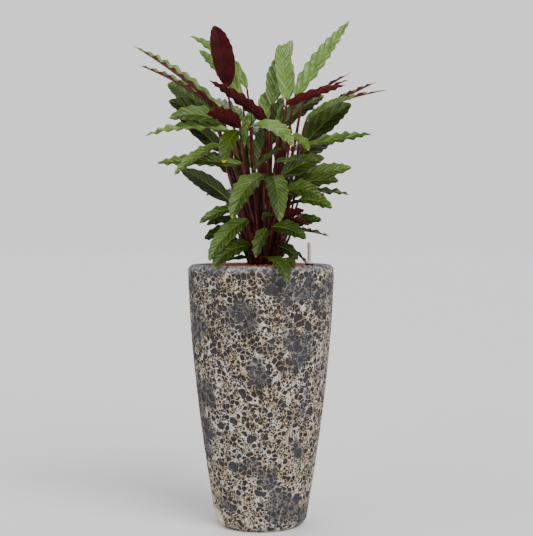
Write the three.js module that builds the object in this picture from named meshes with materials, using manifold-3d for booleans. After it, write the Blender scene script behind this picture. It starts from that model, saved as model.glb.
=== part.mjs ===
// Potted wavestar calathea: a tall crater-glazed pot with a plastic insert, clay granules, a
// culture pot with its root ball, a water gauge, and leafy shoots with long waved blades.
// Millimetres, +Z up, origin at the centre of the pot's foot, the front towards -Y.
import * as THREE from 'three';
import { mergeVertices } from 'three/addons/utils/BufferGeometryUtils.js';
import Module from 'manifold-3d';

const wasm = await Module();
wasm.setup();

const gap = 0.3; // between neighbouring pieces
const sliver = 0.05; // faces thinner than this are left out where solids are joined
const facets = 24; // round the pot and what fills it
const fineFacets = 12; // round the water gauge

// A rounded foot, a tapered side that swells a little, and a thick rounded rim
const potSize = {
  height: 690,
  footRadius: 101,
  footCorner: 16,
  lowRadius: 121, // just above the rounded foot
  bellyRadius: 187, // pulls the side outwards at mid height
  bellyHeight: 400,
  rimRadius: 193,
  rimRounding: 16,
  sideSteps: 5,
};

const cavitySize = {
  floor: 30,
  lowRadius: 95,
  bellyRadius: 158,
  rimRadius: 160,
  sideSteps: 4,
};

// The insert is a tub wedged in the upper part of the pot.
const insertSize = {
  floor: 480,
  top: 670,
  wall: 3,
  floorThickness: 4,
};

// The culture pot stands on the insert's floor and holds the roots.
const cultureSize = {
  height: 190,
  topRadius: 90,
  footRadius: 76,
  wall: 2,
};

const granuleSize = {
  top: 683, // at the pot's wall
  edgeRadius: 158.5,
  mound: 4, // higher round the plant
  bump: 2.4, // how far the top goes up and down
  rings: 5,
  rootRings: 3, // over the roots
};

// The water gauge: a shaft down to the insert's floor, a dark base, a clear dome with a tube,
// and a float with an orange tip
const gaugeSize = {
  x: 128,
  shaftRadius: 9,
  shaftWall: 1.5,
  baseRadius: 12,
  baseHeight: 7.5,
  baseLift: 1.5, // above the granules at the wall
  chamfer: 1.5,
  domeRadius: 10.5,
  domeNeckRadius: 7.75,
  domeNeckHeight: 5.5,
  domeEdgeHeight: 2,
  domeHeight: 8,
  tubeRadius: 4.9,
  tubeHeight: 48,
  tubeWall: 1.1,
  tubeTop: 2, // thickness of the tube's closed end
  floatRadius: 6.8,
  floatHeight: 40,
  floatLift: 40, // above the shaft's floor
  rodRadius: 1.8,
  rodPlay: 0.5,
  tipRadius: 2.6,
  tipHeight: 7,
};

const bladeForm = {
  thickness: 0.9,
  row: 28, // length between the rows of corners, half a wave
  fewestRows: 4,
  swing: 4.2, // how far the edges wave
  fullSwingWidth: 40, // narrower blades wave less
  fold: 16, // degrees that each half rises from the midrib
  rise: 0.5, // how the outline swells from its base
  fall: 0.66, // and narrows to its tip, more where a leaf gives its own fall
  endHalfWidth: 1.4,
};

const stalkForm = {
  radius: 2.5,
  sides: 3,
  steps: 2,
  foot: 694,
  spread: 3, // how far a stalk starts from the middle of its sheath
  drawIn: 0.1, // its lower part stands steeper by this share of its reach
  overlap: 2.5, // how far it runs past the blade's base
};

const sheathSize = {
  radius: 5.6,
  sides: 5,
  foot: 642, // in the root ball
  top: 704,
  apart: 1.2, // clear between two sheaths
};

// Leaves from near the top rise in the middle of the crown, the lowest ones at its edge.
const crown = {
  x: 8,
  radius: 47,
  core: 13,
  lowestBase: 700,
  highestBase: 1165,
  leavesPerShoot: 3,
  tierFloors: [1040, 880, 0], // leaves that start above each height share shoots
};

// Each blade runs from its base to its tip. Wide and arch are in mm. Roll turns the blade about
// that run and fold raises its halves, both in degrees. Peak is where its arch stands highest,
// and a larger fall draws its tip out.
const leaves = [
  // upper left
  { base: [-89, -20, 1156], tip: [-115, -170, 1289], wide: 61, arch: 14, roll: 0 },
  { base: [-38, 36, 1160], tip: [-191, 74, 1304], wide: 37, arch: 18, roll: -60, fall: 0.85 },
  { base: [-50, -6, 1130], tip: [-165, 25, 1258], wide: 40, arch: 8, roll: -58 },
  { base: [-103, -13, 1089], tip: [-328, -58, 1255], wide: 56, arch: 8, roll: -24, fold: 30, fall: 0.85 },
  { base: [-110, 12, 1093], tip: [-323, 10, 1216], wide: 48, arch: 10, roll: -15, fold: 30, fall: 0.88 },
  { base: [-120, 34, 1080], tip: [-257, 125, 1182], wide: 58, arch: 8, roll: -78 },
  { base: [-118, -4, 1054], tip: [-246, 25, 1124], wide: 54, arch: 8, roll: -75 },
  { base: [-95, -36, 1057], tip: [-235, -90, 1066], wide: 50, arch: 18, roll: -62 },
  { base: [-82, -50, 1035], tip: [-297, -100, 1021], wide: 42, arch: 17, roll: -32, fall: 0.85 },
  { base: [-104, 5, 989], tip: [-219, 40, 1083], wide: 45, arch: 6, roll: -75 },
  { base: [-56, -46, 1045], tip: [-134, -170, 1075], wide: 50, arch: 10, roll: 30 },
  { base: [-48, -72, 950], tip: [-265, -95, 952], wide: 43, arch: 7, roll: -50 },
  { base: [-105, -50, 1003], tip: [-216, -168, 918], wide: 38, arch: 10, roll: -25 },
  { base: [-55, -62, 1037], tip: [-93, -165, 949], wide: 54, arch: 20, roll: 0 },
  { base: [-82, -15, 857], tip: [-216, 60, 943], wide: 48, arch: 8, roll: -75 },
  { base: [18, -38, 1061], tip: [-131, -120, 1160], wide: 42, arch: 4, roll: 26, fall: 0.85 },
  { base: [-40, 44, 906], tip: [-150, 120, 992], wide: 50, arch: 8, roll: -45 },
  // lower left
  { base: [7, -75, 924], tip: [-71, -200, 809], wide: 64, arch: 22, roll: -15 },
  { base: [29, -72, 920], tip: [46, -210, 802], wide: 58, arch: 30, roll: 0 },
  { base: [-60, -60, 838], tip: [-157, -120, 798], wide: 32, arch: 8, roll: -50 },
  { base: [-62, -36, 806], tip: [-140, -90, 794], wide: 28, arch: 6, roll: -48 },
  { base: [-63, -4, 780], tip: [-148, -40, 757], wide: 40, arch: 6, roll: -58 },
  { base: [-34, -52, 808], tip: [-131, -150, 703], wide: 50, arch: 16, roll: -40 },
  { base: [-26, -52, 738], tip: [-121, -162, 686], wide: 54, arch: 18, roll: -40 },
  { base: [-52, -22, 744], tip: [-92, -66, 742], wide: 34, arch: 8, roll: -35 },
  { base: [17, -70, 785], tip: [-13, -125, 711], wide: 38, arch: 10, roll: -10 },
  { base: [3, -95, 708], tip: [62, -214, 652], wide: 50, arch: 26, peak: 0.75, roll: 0 },
  { base: [39, -57, 739], tip: [94, -109, 705], wide: 35, arch: 8, roll: 45 },
  { base: [63, -10, 732], tip: [118, -40, 691], wide: 30, arch: 8, roll: -10 },
  { base: [64, -85, 708], tip: [82, -194, 684], wide: 24, arch: 12, peak: 0.7, roll: 20 },
  { base: [-18, -46, 707], tip: [-92, -66, 700], wide: 26, arch: 3, roll: -20 },
  // upper right
  { base: [68, 4, 1123], tip: [52, 134, 1290], wide: 55, arch: 12, roll: 10 },
  { base: [29, 46, 1115], tip: [86, 190, 1311], wide: 58, arch: 14, roll: 0 },
  { base: [27, 90, 1152], tip: [45, 185, 1250], wide: 38, arch: 8, roll: 0 },
  { base: [90, 5, 1134], tip: [238, 40, 1340], wide: 52, arch: 3, roll: 45, fall: 0.85 },
  { base: [66, -28, 1107], tip: [213, -130, 1147], wide: 36, arch: 3, roll: -25, fall: 0.85 },
  { base: [108, -12, 1108], tip: [233, -30, 1190], wide: 36, arch: 4, roll: 0, fall: 0.85 },
  { base: [112, 22, 1118], tip: [233, 8, 1178], wide: 36, arch: 4, roll: 0, fall: 0.85 },
  { base: [48, 30, 1054], tip: [171, 75, 1144], wide: 50, arch: 6, roll: 50 },
  {
    base: [118, -30, 1066], tip: [327, -56, 1143], wide: 43,
    arch: 15, peak: 0.3, roll: 10, fold: 24, fall: 0.85,
  },
  { base: [126, 34, 1085], tip: [308, 40, 1176], wide: 44, arch: 0, roll: 2, fold: 26, fall: 0.85 },
  { base: [114, 2, 1006], tip: [240, 20, 1116], wide: 70, arch: 8, roll: 60 },
  { base: [118, -60, 1064], tip: [236, -96, 1120], wide: 42, arch: 6, roll: 36 },
  { base: [118, -32, 1002], tip: [284, -90, 1027], wide: 44, arch: 1, roll: 42, fall: 0.85 },
  { base: [95, 2, 972], tip: [194, 85, 1030], wide: 52, arch: 6, roll: 72 },
  { base: [79, -66, 1026], tip: [121, -116, 983], wide: 33, arch: 6, roll: 20 },
  { base: [-26, -60, 1049], tip: [80, -180, 989], wide: 53, arch: 22, roll: 25 },
  { base: [-28, -28, 1091], tip: [-44, -57, 993], wide: 27, arch: 8, roll: 0 },
  { base: [-58, 10, 1064], tip: [-72, 64, 1112], wide: 32, arch: 6, roll: 0 },
  { base: [-28, -15, 1048], tip: [-14, 8, 1098], wide: 30, arch: 4, roll: 0 },
  { base: [11, 41, 1071], tip: [12, 92, 1155], wide: 39, arch: 8, roll: 0 },
  { base: [43, -24, 1042], tip: [62, -14, 1115], wide: 26, arch: 6, roll: 0 },
  // lower right
  { base: [-21, -60, 931], tip: [51, -110, 988], wide: 32, arch: 4, roll: 50 },
  { base: [37, -66, 955], tip: [152, -130, 954], wide: 30, arch: 6, roll: 40 },
  { base: [88, 46, 945], tip: [171, 44, 971], wide: 40, arch: 6, roll: 30 },
  { base: [54, -62, 921], tip: [164, -80, 966], wide: 50, arch: 8, roll: 75 },
  { base: [92, -30, 920], tip: [235, -60, 943], wide: 47, arch: 0, roll: 65 },
  { base: [72, -50, 894], tip: [200, -95, 906], wide: 46, arch: 8, roll: 62 },
  { base: [92, -20, 877], tip: [228, -50, 873], wide: 34, arch: 6, roll: 28 },
  { base: [65, -76, 880], tip: [150, -156, 862], wide: 50, arch: 14, roll: 66 },
  { base: [100, -62, 860], tip: [181, -116, 836], wide: 40, arch: 8, roll: 50 },
  { base: [76, -36, 846], tip: [128, -46, 850], wide: 34, arch: 6, roll: 10 },
  { base: [50, -70, 808], tip: [108, -146, 833], wide: 32, arch: 2, roll: -30 },
  { base: [66, -58, 794], tip: [121, -150, 795], wide: 38, arch: 6, roll: -30 },
  { base: [74, -18, 790], tip: [158, -60, 806], wide: 40, arch: 6, roll: 50 },
  { base: [82, -40, 780], tip: [176, -80, 764], wide: 30, arch: 4, roll: 5 },
  { base: [28, -76, 789], tip: [113, -152, 758], wide: 46, arch: 10, roll: 48 },
  { base: [35, -66, 815], tip: [3, -96, 808], wide: 30, arch: 6, roll: -20 },
  { base: [5, -20, 900], tip: [19, -25, 1020], wide: 37, arch: 6, roll: 0 },
  { base: [46, -23, 898], tip: [57, -45, 998], wide: 32, arch: 6, roll: 0 },
  // the far side
  { base: [-58, 74, 1075], tip: [-150, 215, 1150], wide: 50, arch: 14, roll: 0 },
  { base: [60, 85, 1060], tip: [150, 225, 1120], wide: 50, arch: 14, roll: 0 },
  { base: [-42, 54, 953], tip: [-170, 138, 1052], wide: 48, arch: 8, roll: 0 },
  { base: [-9, 82, 960], tip: [-29, 264, 986], wide: 50, arch: 18, roll: 0 },
  { base: [84, 62, 990], tip: [180, 180, 1012], wide: 48, arch: 14, roll: 0 },
  { base: [-30, 72, 880], tip: [-96, 225, 850], wide: 48, arch: 18, roll: 0 },
  { base: [34, 72, 895], tip: [84, 235, 880], wide: 50, arch: 18, roll: 0 },
  { base: [78, 44, 860], tip: [176, 130, 872], wide: 44, arch: 12, roll: 0 },
  { base: [-62, 34, 822], tip: [-140, 108, 818], wide: 40, arch: 8, roll: 0 },
  { base: [-24, 53, 946], tip: [-38, 125, 1042], wide: 43, arch: 8, roll: 0 },
  { base: [64, 34, 770], tip: [150, 96, 772], wide: 40, arch: 8, roll: 0 },
  { base: [-46, 22, 752], tip: [-116, 78, 724], wide: 38, arch: 12, roll: 0 },
  { base: [34, 54, 742], tip: [62, 166, 704], wide: 38, arch: 14, roll: 0 },
  { base: [30, 74, 1012], tip: [58, 146, 1148], wide: 48, arch: 8, roll: 0 },
  { base: [48, 68, 952], tip: [80, 152, 1068], wide: 46, arch: 8, roll: 0 },
  { base: [-4, 49, 942], tip: [3, 119, 1061], wide: 44, arch: 8, roll: 0 },
  { base: [-64, 60, 880], tip: [-152, 170, 876], wide: 44, arch: 8, roll: 0 },
  { base: [62, 78, 930], tip: [150, 215, 930], wide: 48, arch: 14, roll: 0 },
  { base: [-10, 98, 1035], tip: [-30, 245, 1066], wide: 50, arch: 18, roll: 0 },
  { base: [-50, 52, 775], tip: [-104, 150, 752], wide: 40, arch: 12, roll: 0 },
  { base: [56, 56, 820], tip: [128, 165, 800], wide: 42, arch: 12, roll: 0 },
  { base: [11, 61, 866], tip: [10, 152, 970], wide: 46, arch: 8, roll: 0 },
  { base: [-56, 48, 960], tip: [-70, 107, 1039], wide: 36, arch: 8, roll: 0 },
];

const up = new THREE.Vector3(0, 0, 1);

// Random numbers from 0 to 1, the same in each run
function seededRandom(seed) {
  let state = seed;
  return () => {
    state = (state * 1664525 + 1013904223) % 4294967296;
    return state / 4294967296;
  };
}

function mergedPlaces(geometry) {
  const bare = geometry.clone();
  bare.deleteAttribute('normal');
  bare.deleteAttribute('uv');
  return mergeVertices(bare, 1e-3);
}

function toSolid(geometry) {
  const merged = mergedPlaces(geometry);
  return new wasm.Manifold(new wasm.Mesh({
    numProp: 3,
    vertProperties: new Float32Array(merged.attributes.position.array),
    triVerts: new Uint32Array(merged.index.array),
  }));
}

// Drops scraps, and fills a pocket that joining has sealed
function largest(solid) {
  return solid.decompose().sort((one, other) => other.volume() - one.volume())[0];
}

function toGeometry(solid) {
  const mesh = solid.getMesh();
  const geometry = new THREE.BufferGeometry();
  geometry.setAttribute('position', new THREE.BufferAttribute(mesh.vertProperties, 3));
  geometry.setIndex(new THREE.BufferAttribute(mesh.triVerts, 1));
  geometry.computeVertexNormals();
  return geometry;
}

// A closed outline of [radius, height] points turned about +Z
function turned(outline, segments) {
  const points = outline.map(([radius, height]) => new THREE.Vector2(radius, height));
  return new THREE.LatheGeometry(points, segments).rotateX(Math.PI / 2);
}

// Points on a rounded corner about a centre, from one angle to another in degrees
function corner([radius, height], rounding, from, to) {
  const steps = 2;
  return Array.from({ length: steps + 1 }, (_, i) => {
    const angle = THREE.MathUtils.degToRad(from + ((to - from) * i) / steps);
    return [radius + rounding * Math.cos(angle), height + rounding * Math.sin(angle)];
  });
}

function sidePoints(low, belly, high, steps) {
  const curve = new THREE.QuadraticBezierCurve(
    new THREE.Vector2(...low),
    new THREE.Vector2(...belly),
    new THREE.Vector2(...high),
  );
  return curve.getPoints(steps).map((point) => [point.x, point.y]);
}

const rimCentre = potSize.height - potSize.rimRounding;
const cavitySide = sidePoints(
  [cavitySize.lowRadius, cavitySize.floor],
  [cavitySize.bellyRadius, potSize.bellyHeight],
  [cavitySize.rimRadius, rimCentre],
  cavitySize.sideSteps,
);

function cavityRadiusAt(height) {
  const above = cavitySide.findIndex((point) => point[1] >= height);
  const [lowRadius, low] = cavitySide[above - 1];
  const [highRadius, high] = cavitySide[above];
  return lowRadius + ((highRadius - lowRadius) * (height - low)) / (high - low);
}

function pot() {
  const outerSide = sidePoints(
    [potSize.lowRadius, potSize.footCorner],
    [potSize.bellyRadius, potSize.bellyHeight],
    [potSize.rimRadius, rimCentre],
    potSize.sideSteps,
  );
  const outerRim = [potSize.rimRadius - potSize.rimRounding, rimCentre];
  const innerRim = [cavitySize.rimRadius + potSize.rimRounding, rimCentre];
  return toSolid(turned([
    [0, 0],
    ...corner([potSize.footRadius, potSize.footCorner], potSize.footCorner, -90, -25),
    ...outerSide,
    ...corner(outerRim, potSize.rimRounding, 30, 90),
    ...corner(innerRim, potSize.rimRounding, 90, 150).slice(1),
    ...[...cavitySide].reverse(),
    [0, cavitySize.floor],
  ], facets));
}

// The heights of the cavity's corners between two others, which are given too
function wallHeights(low, high) {
  const between = cavitySide.map((point) => point[1]).filter((height) => height > low && height < high);
  return [low, ...between, high];
}

const insertFloorTop = insertSize.floor + insertSize.floorThickness;

function insert() {
  const heights = wallHeights(insertSize.floor, insertSize.top);
  const outside = heights.map((height) => [cavityRadiusAt(height) - gap, height]);
  const inside = heights.reverse().map((height) => {
    const level = Math.max(height, insertFloorTop);
    return [cavityRadiusAt(level) - gap - insertSize.wall, level];
  });
  return toSolid(turned([
    [0, insertSize.floor],
    ...outside,
    ...inside,
    [0, insertFloorTop],
  ], facets));
}

const cultureFoot = insertFloorTop + gap;
const cultureTop = cultureFoot + cultureSize.height;

function culturePot() {
  const { topRadius, footRadius, wall } = cultureSize;
  return toSolid(turned([
    [0, cultureFoot],
    [footRadius, cultureFoot],
    [topRadius, cultureTop],
    [topRadius - wall, cultureTop],
    [footRadius - wall, cultureFoot + wall],
    [0, cultureFoot + wall],
  ], facets));
}

// Moves the points above a height up and down at random
function roughen(geometry, lowest, seed) {
  const merged = mergedPlaces(geometry);
  const random = seededRandom(seed);
  const places = merged.attributes.position;
  for (let i = 0; i < places.count; i += 1) {
    const lift = (random() - 0.5) * 2 * granuleSize.bump;
    if (places.getZ(i) > lowest) {
      places.setZ(i, places.getZ(i) + lift);
    }
  }
  return merged;
}

// Evenly spaced rings from one [radius, height] to another
function rings(from, to, count) {
  return Array.from({ length: count + 1 }, (_, i) => [
    from[0] + ((to[0] - from[0]) * i) / count,
    from[1] + ((to[1] - from[1]) * i) / count,
  ]);
}

const fillTop = granuleSize.top + granuleSize.mound;

// Clay granules fill the insert round the culture pot, up over its rim.
function granules() {
  const foot = insertFloorTop + gap;
  const shelf = insertSize.top + gap; // over the insert's edge
  const inside = insertSize.wall + 2 * gap;
  const inner = cultureSize.topRadius + gap;
  const outline = [
    [cultureSize.footRadius + gap, foot],
    ...wallHeights(foot, shelf).map((height) => [cavityRadiusAt(height) - inside, height]),
    [cavityRadiusAt(shelf) - gap, shelf],
    ...rings([granuleSize.edgeRadius, granuleSize.top], [inner, fillTop], granuleSize.rings),
    [inner, cultureTop],
    [cultureSize.footRadius + gap, foot],
  ];
  return roughen(turned(outline, facets), granuleSize.top - 1, 7);
}

// Soil and roots in the culture pot, topped with granules
function rootBall() {
  const foot = cultureFoot + cultureSize.wall + gap;
  const inside = cultureSize.wall + gap;
  const widest = cultureSize.topRadius - gap;
  const outline = [
    [0, foot],
    [cultureSize.footRadius - inside, foot],
    [cultureSize.topRadius - inside, cultureTop],
    [cultureSize.topRadius - inside, cultureTop + gap],
    [widest, cultureTop + gap],
    ...rings([widest, fillTop], [0, fillTop], granuleSize.rootRings),
  ];
  return roughen(turned(outline, facets), granuleSize.top + 1, 11);
}

const gaugeBaseFoot = granuleSize.top + gaugeSize.baseLift;
const gaugeGlassFoot = gaugeBaseFoot + gaugeSize.baseHeight + gap;
const gaugeShaftFoot = insertFloorTop + gap;
const rodHole = gaugeSize.rodRadius + gaugeSize.rodPlay;

function gaugePart(outline) {
  return toSolid(turned(outline, fineFacets).translate(gaugeSize.x, 0, 0));
}

function gaugeShaft() {
  const { shaftRadius, shaftWall } = gaugeSize;
  const top = gaugeBaseFoot - gap;
  return gaugePart([
    [0, gaugeShaftFoot],
    [shaftRadius, gaugeShaftFoot],
    [shaftRadius, top],
    [shaftRadius - shaftWall, top],
    [shaftRadius - shaftWall, gaugeShaftFoot + shaftWall],
    [0, gaugeShaftFoot + shaftWall],
  ]);
}

function gaugeBase() {
  const { baseRadius, baseHeight, chamfer } = gaugeSize;
  return gaugePart([
    [rodHole, gaugeBaseFoot],
    [baseRadius, gaugeBaseFoot],
    [baseRadius, gaugeBaseFoot + baseHeight - chamfer],
    [baseRadius - chamfer, gaugeBaseFoot + baseHeight],
    [rodHole, gaugeBaseFoot + baseHeight],
    [rodHole, gaugeBaseFoot],
  ]);
}

function gaugeGlass() {
  const { domeRadius, domeNeckRadius, tubeRadius, chamfer } = gaugeSize;
  const domeTop = gaugeGlassFoot + gaugeSize.domeHeight;
  const top = domeTop + gaugeSize.tubeHeight;
  const bore = tubeRadius - gaugeSize.tubeWall;
  return gaugePart([
    [bore, gaugeGlassFoot],
    [domeRadius, gaugeGlassFoot],
    [domeRadius, gaugeGlassFoot + gaugeSize.domeEdgeHeight],
    [domeNeckRadius, gaugeGlassFoot + gaugeSize.domeNeckHeight],
    [tubeRadius, domeTop],
    [tubeRadius, top - chamfer],
    [tubeRadius - chamfer, top],
    [0, top],
    [0, top - gaugeSize.tubeTop],
    [bore, top - gaugeSize.tubeTop],
    [bore, gaugeGlassFoot],
  ]);
}

function gaugeFloat() {
  const { floatRadius, rodRadius, tipRadius } = gaugeSize;
  const foot = gaugeShaftFoot + gaugeSize.shaftWall + gaugeSize.floatLift;
  const shoulder = foot + gaugeSize.floatHeight;
  const tipFoot = gaugeGlassFoot + gaugeSize.domeNeckHeight;
  return gaugePart([
    [0, foot],
    [floatRadius, foot],
    [floatRadius, shoulder],
    [rodRadius, shoulder],
    [rodRadius, tipFoot],
    [tipRadius, tipFoot],
    [tipRadius, tipFoot + gaugeSize.tipHeight],
    [0, tipFoot + gaugeSize.tipHeight],
  ]);
}

// The hole in the granules that the shaft and the base stand in
function gaugeHole() {
  const well = gaugeBaseFoot - 3;
  return gaugePart([
    [0, insertSize.floor],
    [gaugeSize.shaftRadius + gap, insertSize.floor],
    [gaugeSize.shaftRadius + gap, well],
    [gaugeSize.baseRadius + gap, well],
    [gaugeSize.baseRadius + gap, potSize.height],
    [0, potSize.height],
  ]);
}

// A long pointed blade's half width, as a share of its widest
function bladeShare(along, fall) {
  const { rise } = bladeForm;
  const widest = rise / (rise + fall);
  const peak = widest ** rise * (1 - widest) ** fall;
  return (along ** rise * (1 - along) ** fall) / peak;
}

// The midrib is a plane curve from base to tip; its frame gives the blade's side and face.
function midribOf(leaf) {
  const base = new THREE.Vector3(...leaf.base);
  const tip = new THREE.Vector3(...leaf.tip);
  const run = tip.clone().sub(base).normalize();
  const rise = up.clone().addScaledVector(run, -run.z).normalize();
  const across = run.clone().cross(rise);
  const hump = base.clone().lerp(tip, leaf.peak ?? 0.5).addScaledVector(rise, 2 * leaf.arch);
  const curve = new THREE.QuadraticBezierCurve3(base, hump, tip);
  const roll = THREE.MathUtils.degToRad(leaf.roll);
  const at = (along) => {
    const face = across.clone().cross(curve.getTangent(along));
    const normal = face.clone().multiplyScalar(Math.cos(roll)).addScaledVector(across, Math.sin(roll));
    const sideways = across.clone().multiplyScalar(Math.cos(roll)).addScaledVector(face, -Math.sin(roll));
    return { centre: curve.getPoint(along), normal, sideways };
  };
  return { at, base, length: base.distanceTo(tip) };
}

// The six corners of a row: left edge, midrib and right edge, on the upper and lower faces
function bladeRow(leaf, midrib, along, swing) {
  const { centre, normal, sideways } = midrib.at(along);
  const fold = THREE.MathUtils.degToRad(leaf.fold ?? bladeForm.fold);
  const share = bladeShare(along, leaf.fall ?? bladeForm.fall);
  const half = Math.max(bladeForm.endHalfWidth, (leaf.wide / 2) * share);
  return [1, -1].flatMap((face) => [-1, 0, 1].map((hand) => {
    const edgeLift = Math.abs(hand) * (half * Math.sin(fold) + swing);
    return centre.clone()
      .addScaledVector(sideways, hand * half * Math.cos(fold))
      .addScaledVector(normal, edgeLift + (face * bladeForm.thickness) / 2);
  }));
}

// A blade's edges swing up and down from row to row. Both its faces are split into like
// triangles, so that they never cross.
function blade(leaf) {
  const midrib = midribOf(leaf);
  const rows = Math.max(bladeForm.fewestRows, Math.round(midrib.length / bladeForm.row));
  const swing = bladeForm.swing * Math.min(1, leaf.wide / bladeForm.fullSwingWidth);
  const places = [];
  for (let row = 0; row <= rows; row += 1) {
    const atEnd = row === 0 || row === rows;
    const sign = row % 2 === 0 ? 1 : -1;
    places.push(...bladeRow(leaf, midrib, row / rows, atEnd ? 0 : sign * swing));
  }
  const index = [];
  const quad = (a, b, c, d) => index.push(a, b, c, a, c, d);
  for (let row = 0; row < rows; row += 1) {
    const here = row * 6;
    const next = here + 6;
    for (const column of [0, 1]) {
      const a = column;
      const b = column + 1;
      quad(here + a, here + b, next + b, next + a); // upper face
      index.push(here + 3 + a, next + 3 + b, here + 3 + b); // lower face
      index.push(here + 3 + a, next + 3 + a, next + 3 + b);
    }
    quad(here + 3, here, next, next + 3); // left edge
    quad(here + 2, here + 5, next + 5, next + 2); // right edge
  }
  const last = rows * 6;
  quad(1, 0, 3, 4); // base
  quad(2, 1, 4, 5);
  quad(last, last + 1, last + 4, last + 3); // tip
  quad(last + 1, last + 2, last + 5, last + 4);
  const geometry = new THREE.BufferGeometry();
  const numbers = places.flatMap((place) => place.toArray());
  geometry.setAttribute('position', new THREE.Float32BufferAttribute(numbers, 3));
  geometry.setIndex(index);
  return toSolid(geometry);
}

// The higher a leaf, the nearer the middle of the crown it rises, on its own side of it.
function ownFoot(leaf) {
  const share = (leaf.base[2] - crown.lowestBase) / (crown.highestBase - crown.lowestBase);
  const radius = THREE.MathUtils.lerp(crown.radius, crown.core, THREE.MathUtils.clamp(share, 0, 1));
  const bearing = bearingOf(leaf);
  return new THREE.Vector2(crown.x + radius * Math.cos(bearing), radius * Math.sin(bearing));
}

function bearingOf(leaf) {
  return Math.atan2(leaf.base[1], leaf.base[0] - crown.x);
}

// Where in the shoot's sheath a leaf's own stalk starts
function startOf(leaf, foot) {
  const lean = ownFoot(leaf).sub(foot).divideScalar(8).clampLength(0, 1).multiplyScalar(stalkForm.spread);
  return new THREE.Vector3(foot.x + lean.x, foot.y + lean.y, stalkForm.foot);
}

// A stalk rises from the sheath, nearly straight, and ends just past the blade's base.
function stalk(leaf, start) {
  const midrib = midribOf(leaf);
  const reach = midrib.base.clone().sub(start);
  const low = start.clone().addScaledVector(reach, 0.3);
  low.x -= reach.x * stalkForm.drawIn;
  low.y -= reach.y * stalkForm.drawIn;
  const path = new THREE.CatmullRomCurve3([
    start,
    low,
    start.clone().addScaledVector(reach, 0.7),
    midrib.base.clone().addScaledVector(reach.clone().normalize(), stalkForm.overlap),
  ], false, 'centripetal');
  const section = new THREE.Shape(Array.from({ length: stalkForm.sides }, (_, i) => {
    const angle = (2 * Math.PI * i) / stalkForm.sides;
    return new THREE.Vector2(Math.cos(angle), Math.sin(angle)).multiplyScalar(stalkForm.radius);
  }));
  return toSolid(new THREE.ExtrudeGeometry(section, {
    steps: stalkForm.steps,
    extrudePath: path,
    bevelEnabled: false,
  }));
}

// An upright prism from one height to another at a shoot's foot
function prism(foot, radius, low, high) {
  const outline = turned([
    [0, low],
    [radius, low],
    [radius, high],
    [0, high],
  ], sheathSize.sides);
  return toSolid(outline.translate(foot.x, foot.y, 0));
}

// Neighbours round the crown share a shoot; the shoots are then eased apart.
function groupShoots() {
  const shoots = [];
  let ceiling = Infinity;
  for (const floor of crown.tierFloors) {
    const members = leaves.filter((leaf) => leaf.base[2] > floor && leaf.base[2] <= ceiling);
    ceiling = floor;
    members.sort((one, other) => bearingOf(one) - bearingOf(other));
    const count = Math.ceil(members.length / crown.leavesPerShoot);
    for (let i = 0; i < count; i += 1) {
      const from = Math.round((members.length * i) / count);
      const to = Math.round((members.length * (i + 1)) / count);
      const group = members.slice(from, to);
      const foot = new THREE.Vector2();
      group.forEach((leaf) => foot.add(ownFoot(leaf)));
      shoots.push({ foot: foot.divideScalar(group.length), leaves: group });
    }
  }
  const pitch = 2 * sheathSize.radius + sheathSize.apart;
  for (let round = 0; round < 60; round += 1) {
    shoots.forEach((one, i) => {
      shoots.slice(i + 1).forEach((other) => {
        const apart = other.foot.clone().sub(one.foot);
        const short = pitch - apart.length();
        if (short > 0) {
          apart.setLength(short / 2);
          one.foot.sub(apart);
          other.foot.add(apart);
        }
      });
    });
  }
  return shoots;
}

function shoot({ foot, leaves: members }) {
  let body = prism(foot, sheathSize.radius, sheathSize.foot, sheathSize.top);
  members.forEach((leaf) => {
    body = body.add(stalk(leaf, startOf(leaf, foot))).add(blade(leaf));
  });
  return largest(body).simplify(sliver);
}

const glaze = new THREE.MeshStandardMaterial({ color: 0x6f6a63, roughness: 0.55, metalness: 0 });
const blackPlastic = new THREE.MeshStandardMaterial({ color: 0x1c1c1d, roughness: 0.6, metalness: 0 });
const clay = new THREE.MeshStandardMaterial({ color: 0xb4604a, roughness: 0.95, metalness: 0 });
const clearPlastic = new THREE.MeshStandardMaterial({ color: 0xd9dadb, roughness: 0.2, metalness: 0 });
const orangePlastic = new THREE.MeshStandardMaterial({ color: 0xd8602c, roughness: 0.5, metalness: 0 });
const leafGreen = new THREE.MeshStandardMaterial({ color: 0x4f7a3a, roughness: 0.45, metalness: 0 });

const plant = new THREE.Group();

function addPiece(name, solid, material) {
  const mesh = new THREE.Mesh(toGeometry(solid), material);
  mesh.name = name;
  plant.add(mesh);
}

const shoots = groupShoots();
const rootsWithHoles = shoots.reduce((roots, { foot }) => {
  const hole = prism(foot, sheathSize.radius + gap, sheathSize.foot - gap, potSize.height);
  return roots.subtract(hole);
}, toSolid(rootBall())).simplify(sliver);

addPiece('pot', pot(), glaze);
addPiece('insert', insert(), blackPlastic);
addPiece('culture_pot', culturePot(), blackPlastic);
addPiece('root_ball', rootsWithHoles, clay);
addPiece('granules', toSolid(granules()).subtract(gaugeHole()), clay);
addPiece('gauge_shaft', gaugeShaft(), blackPlastic);
addPiece('gauge_base', gaugeBase(), blackPlastic);
addPiece('gauge_glass', gaugeGlass(), clearPlastic);
addPiece('gauge_float', gaugeFloat(), orangePlastic);
shoots.forEach((members, i) => {
  addPiece(`shoot_${String(i + 1).padStart(2, '0')}`, shoot(members), leafGreen);
});

export default plant;
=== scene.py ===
# Potted wavestar calathea: a tall crater-glazed pot, clay granules, a water gauge and leafy shoots.
# Lengths in the dictionaries are in millimetres, unless a note says otherwise.
import math
import random

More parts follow.
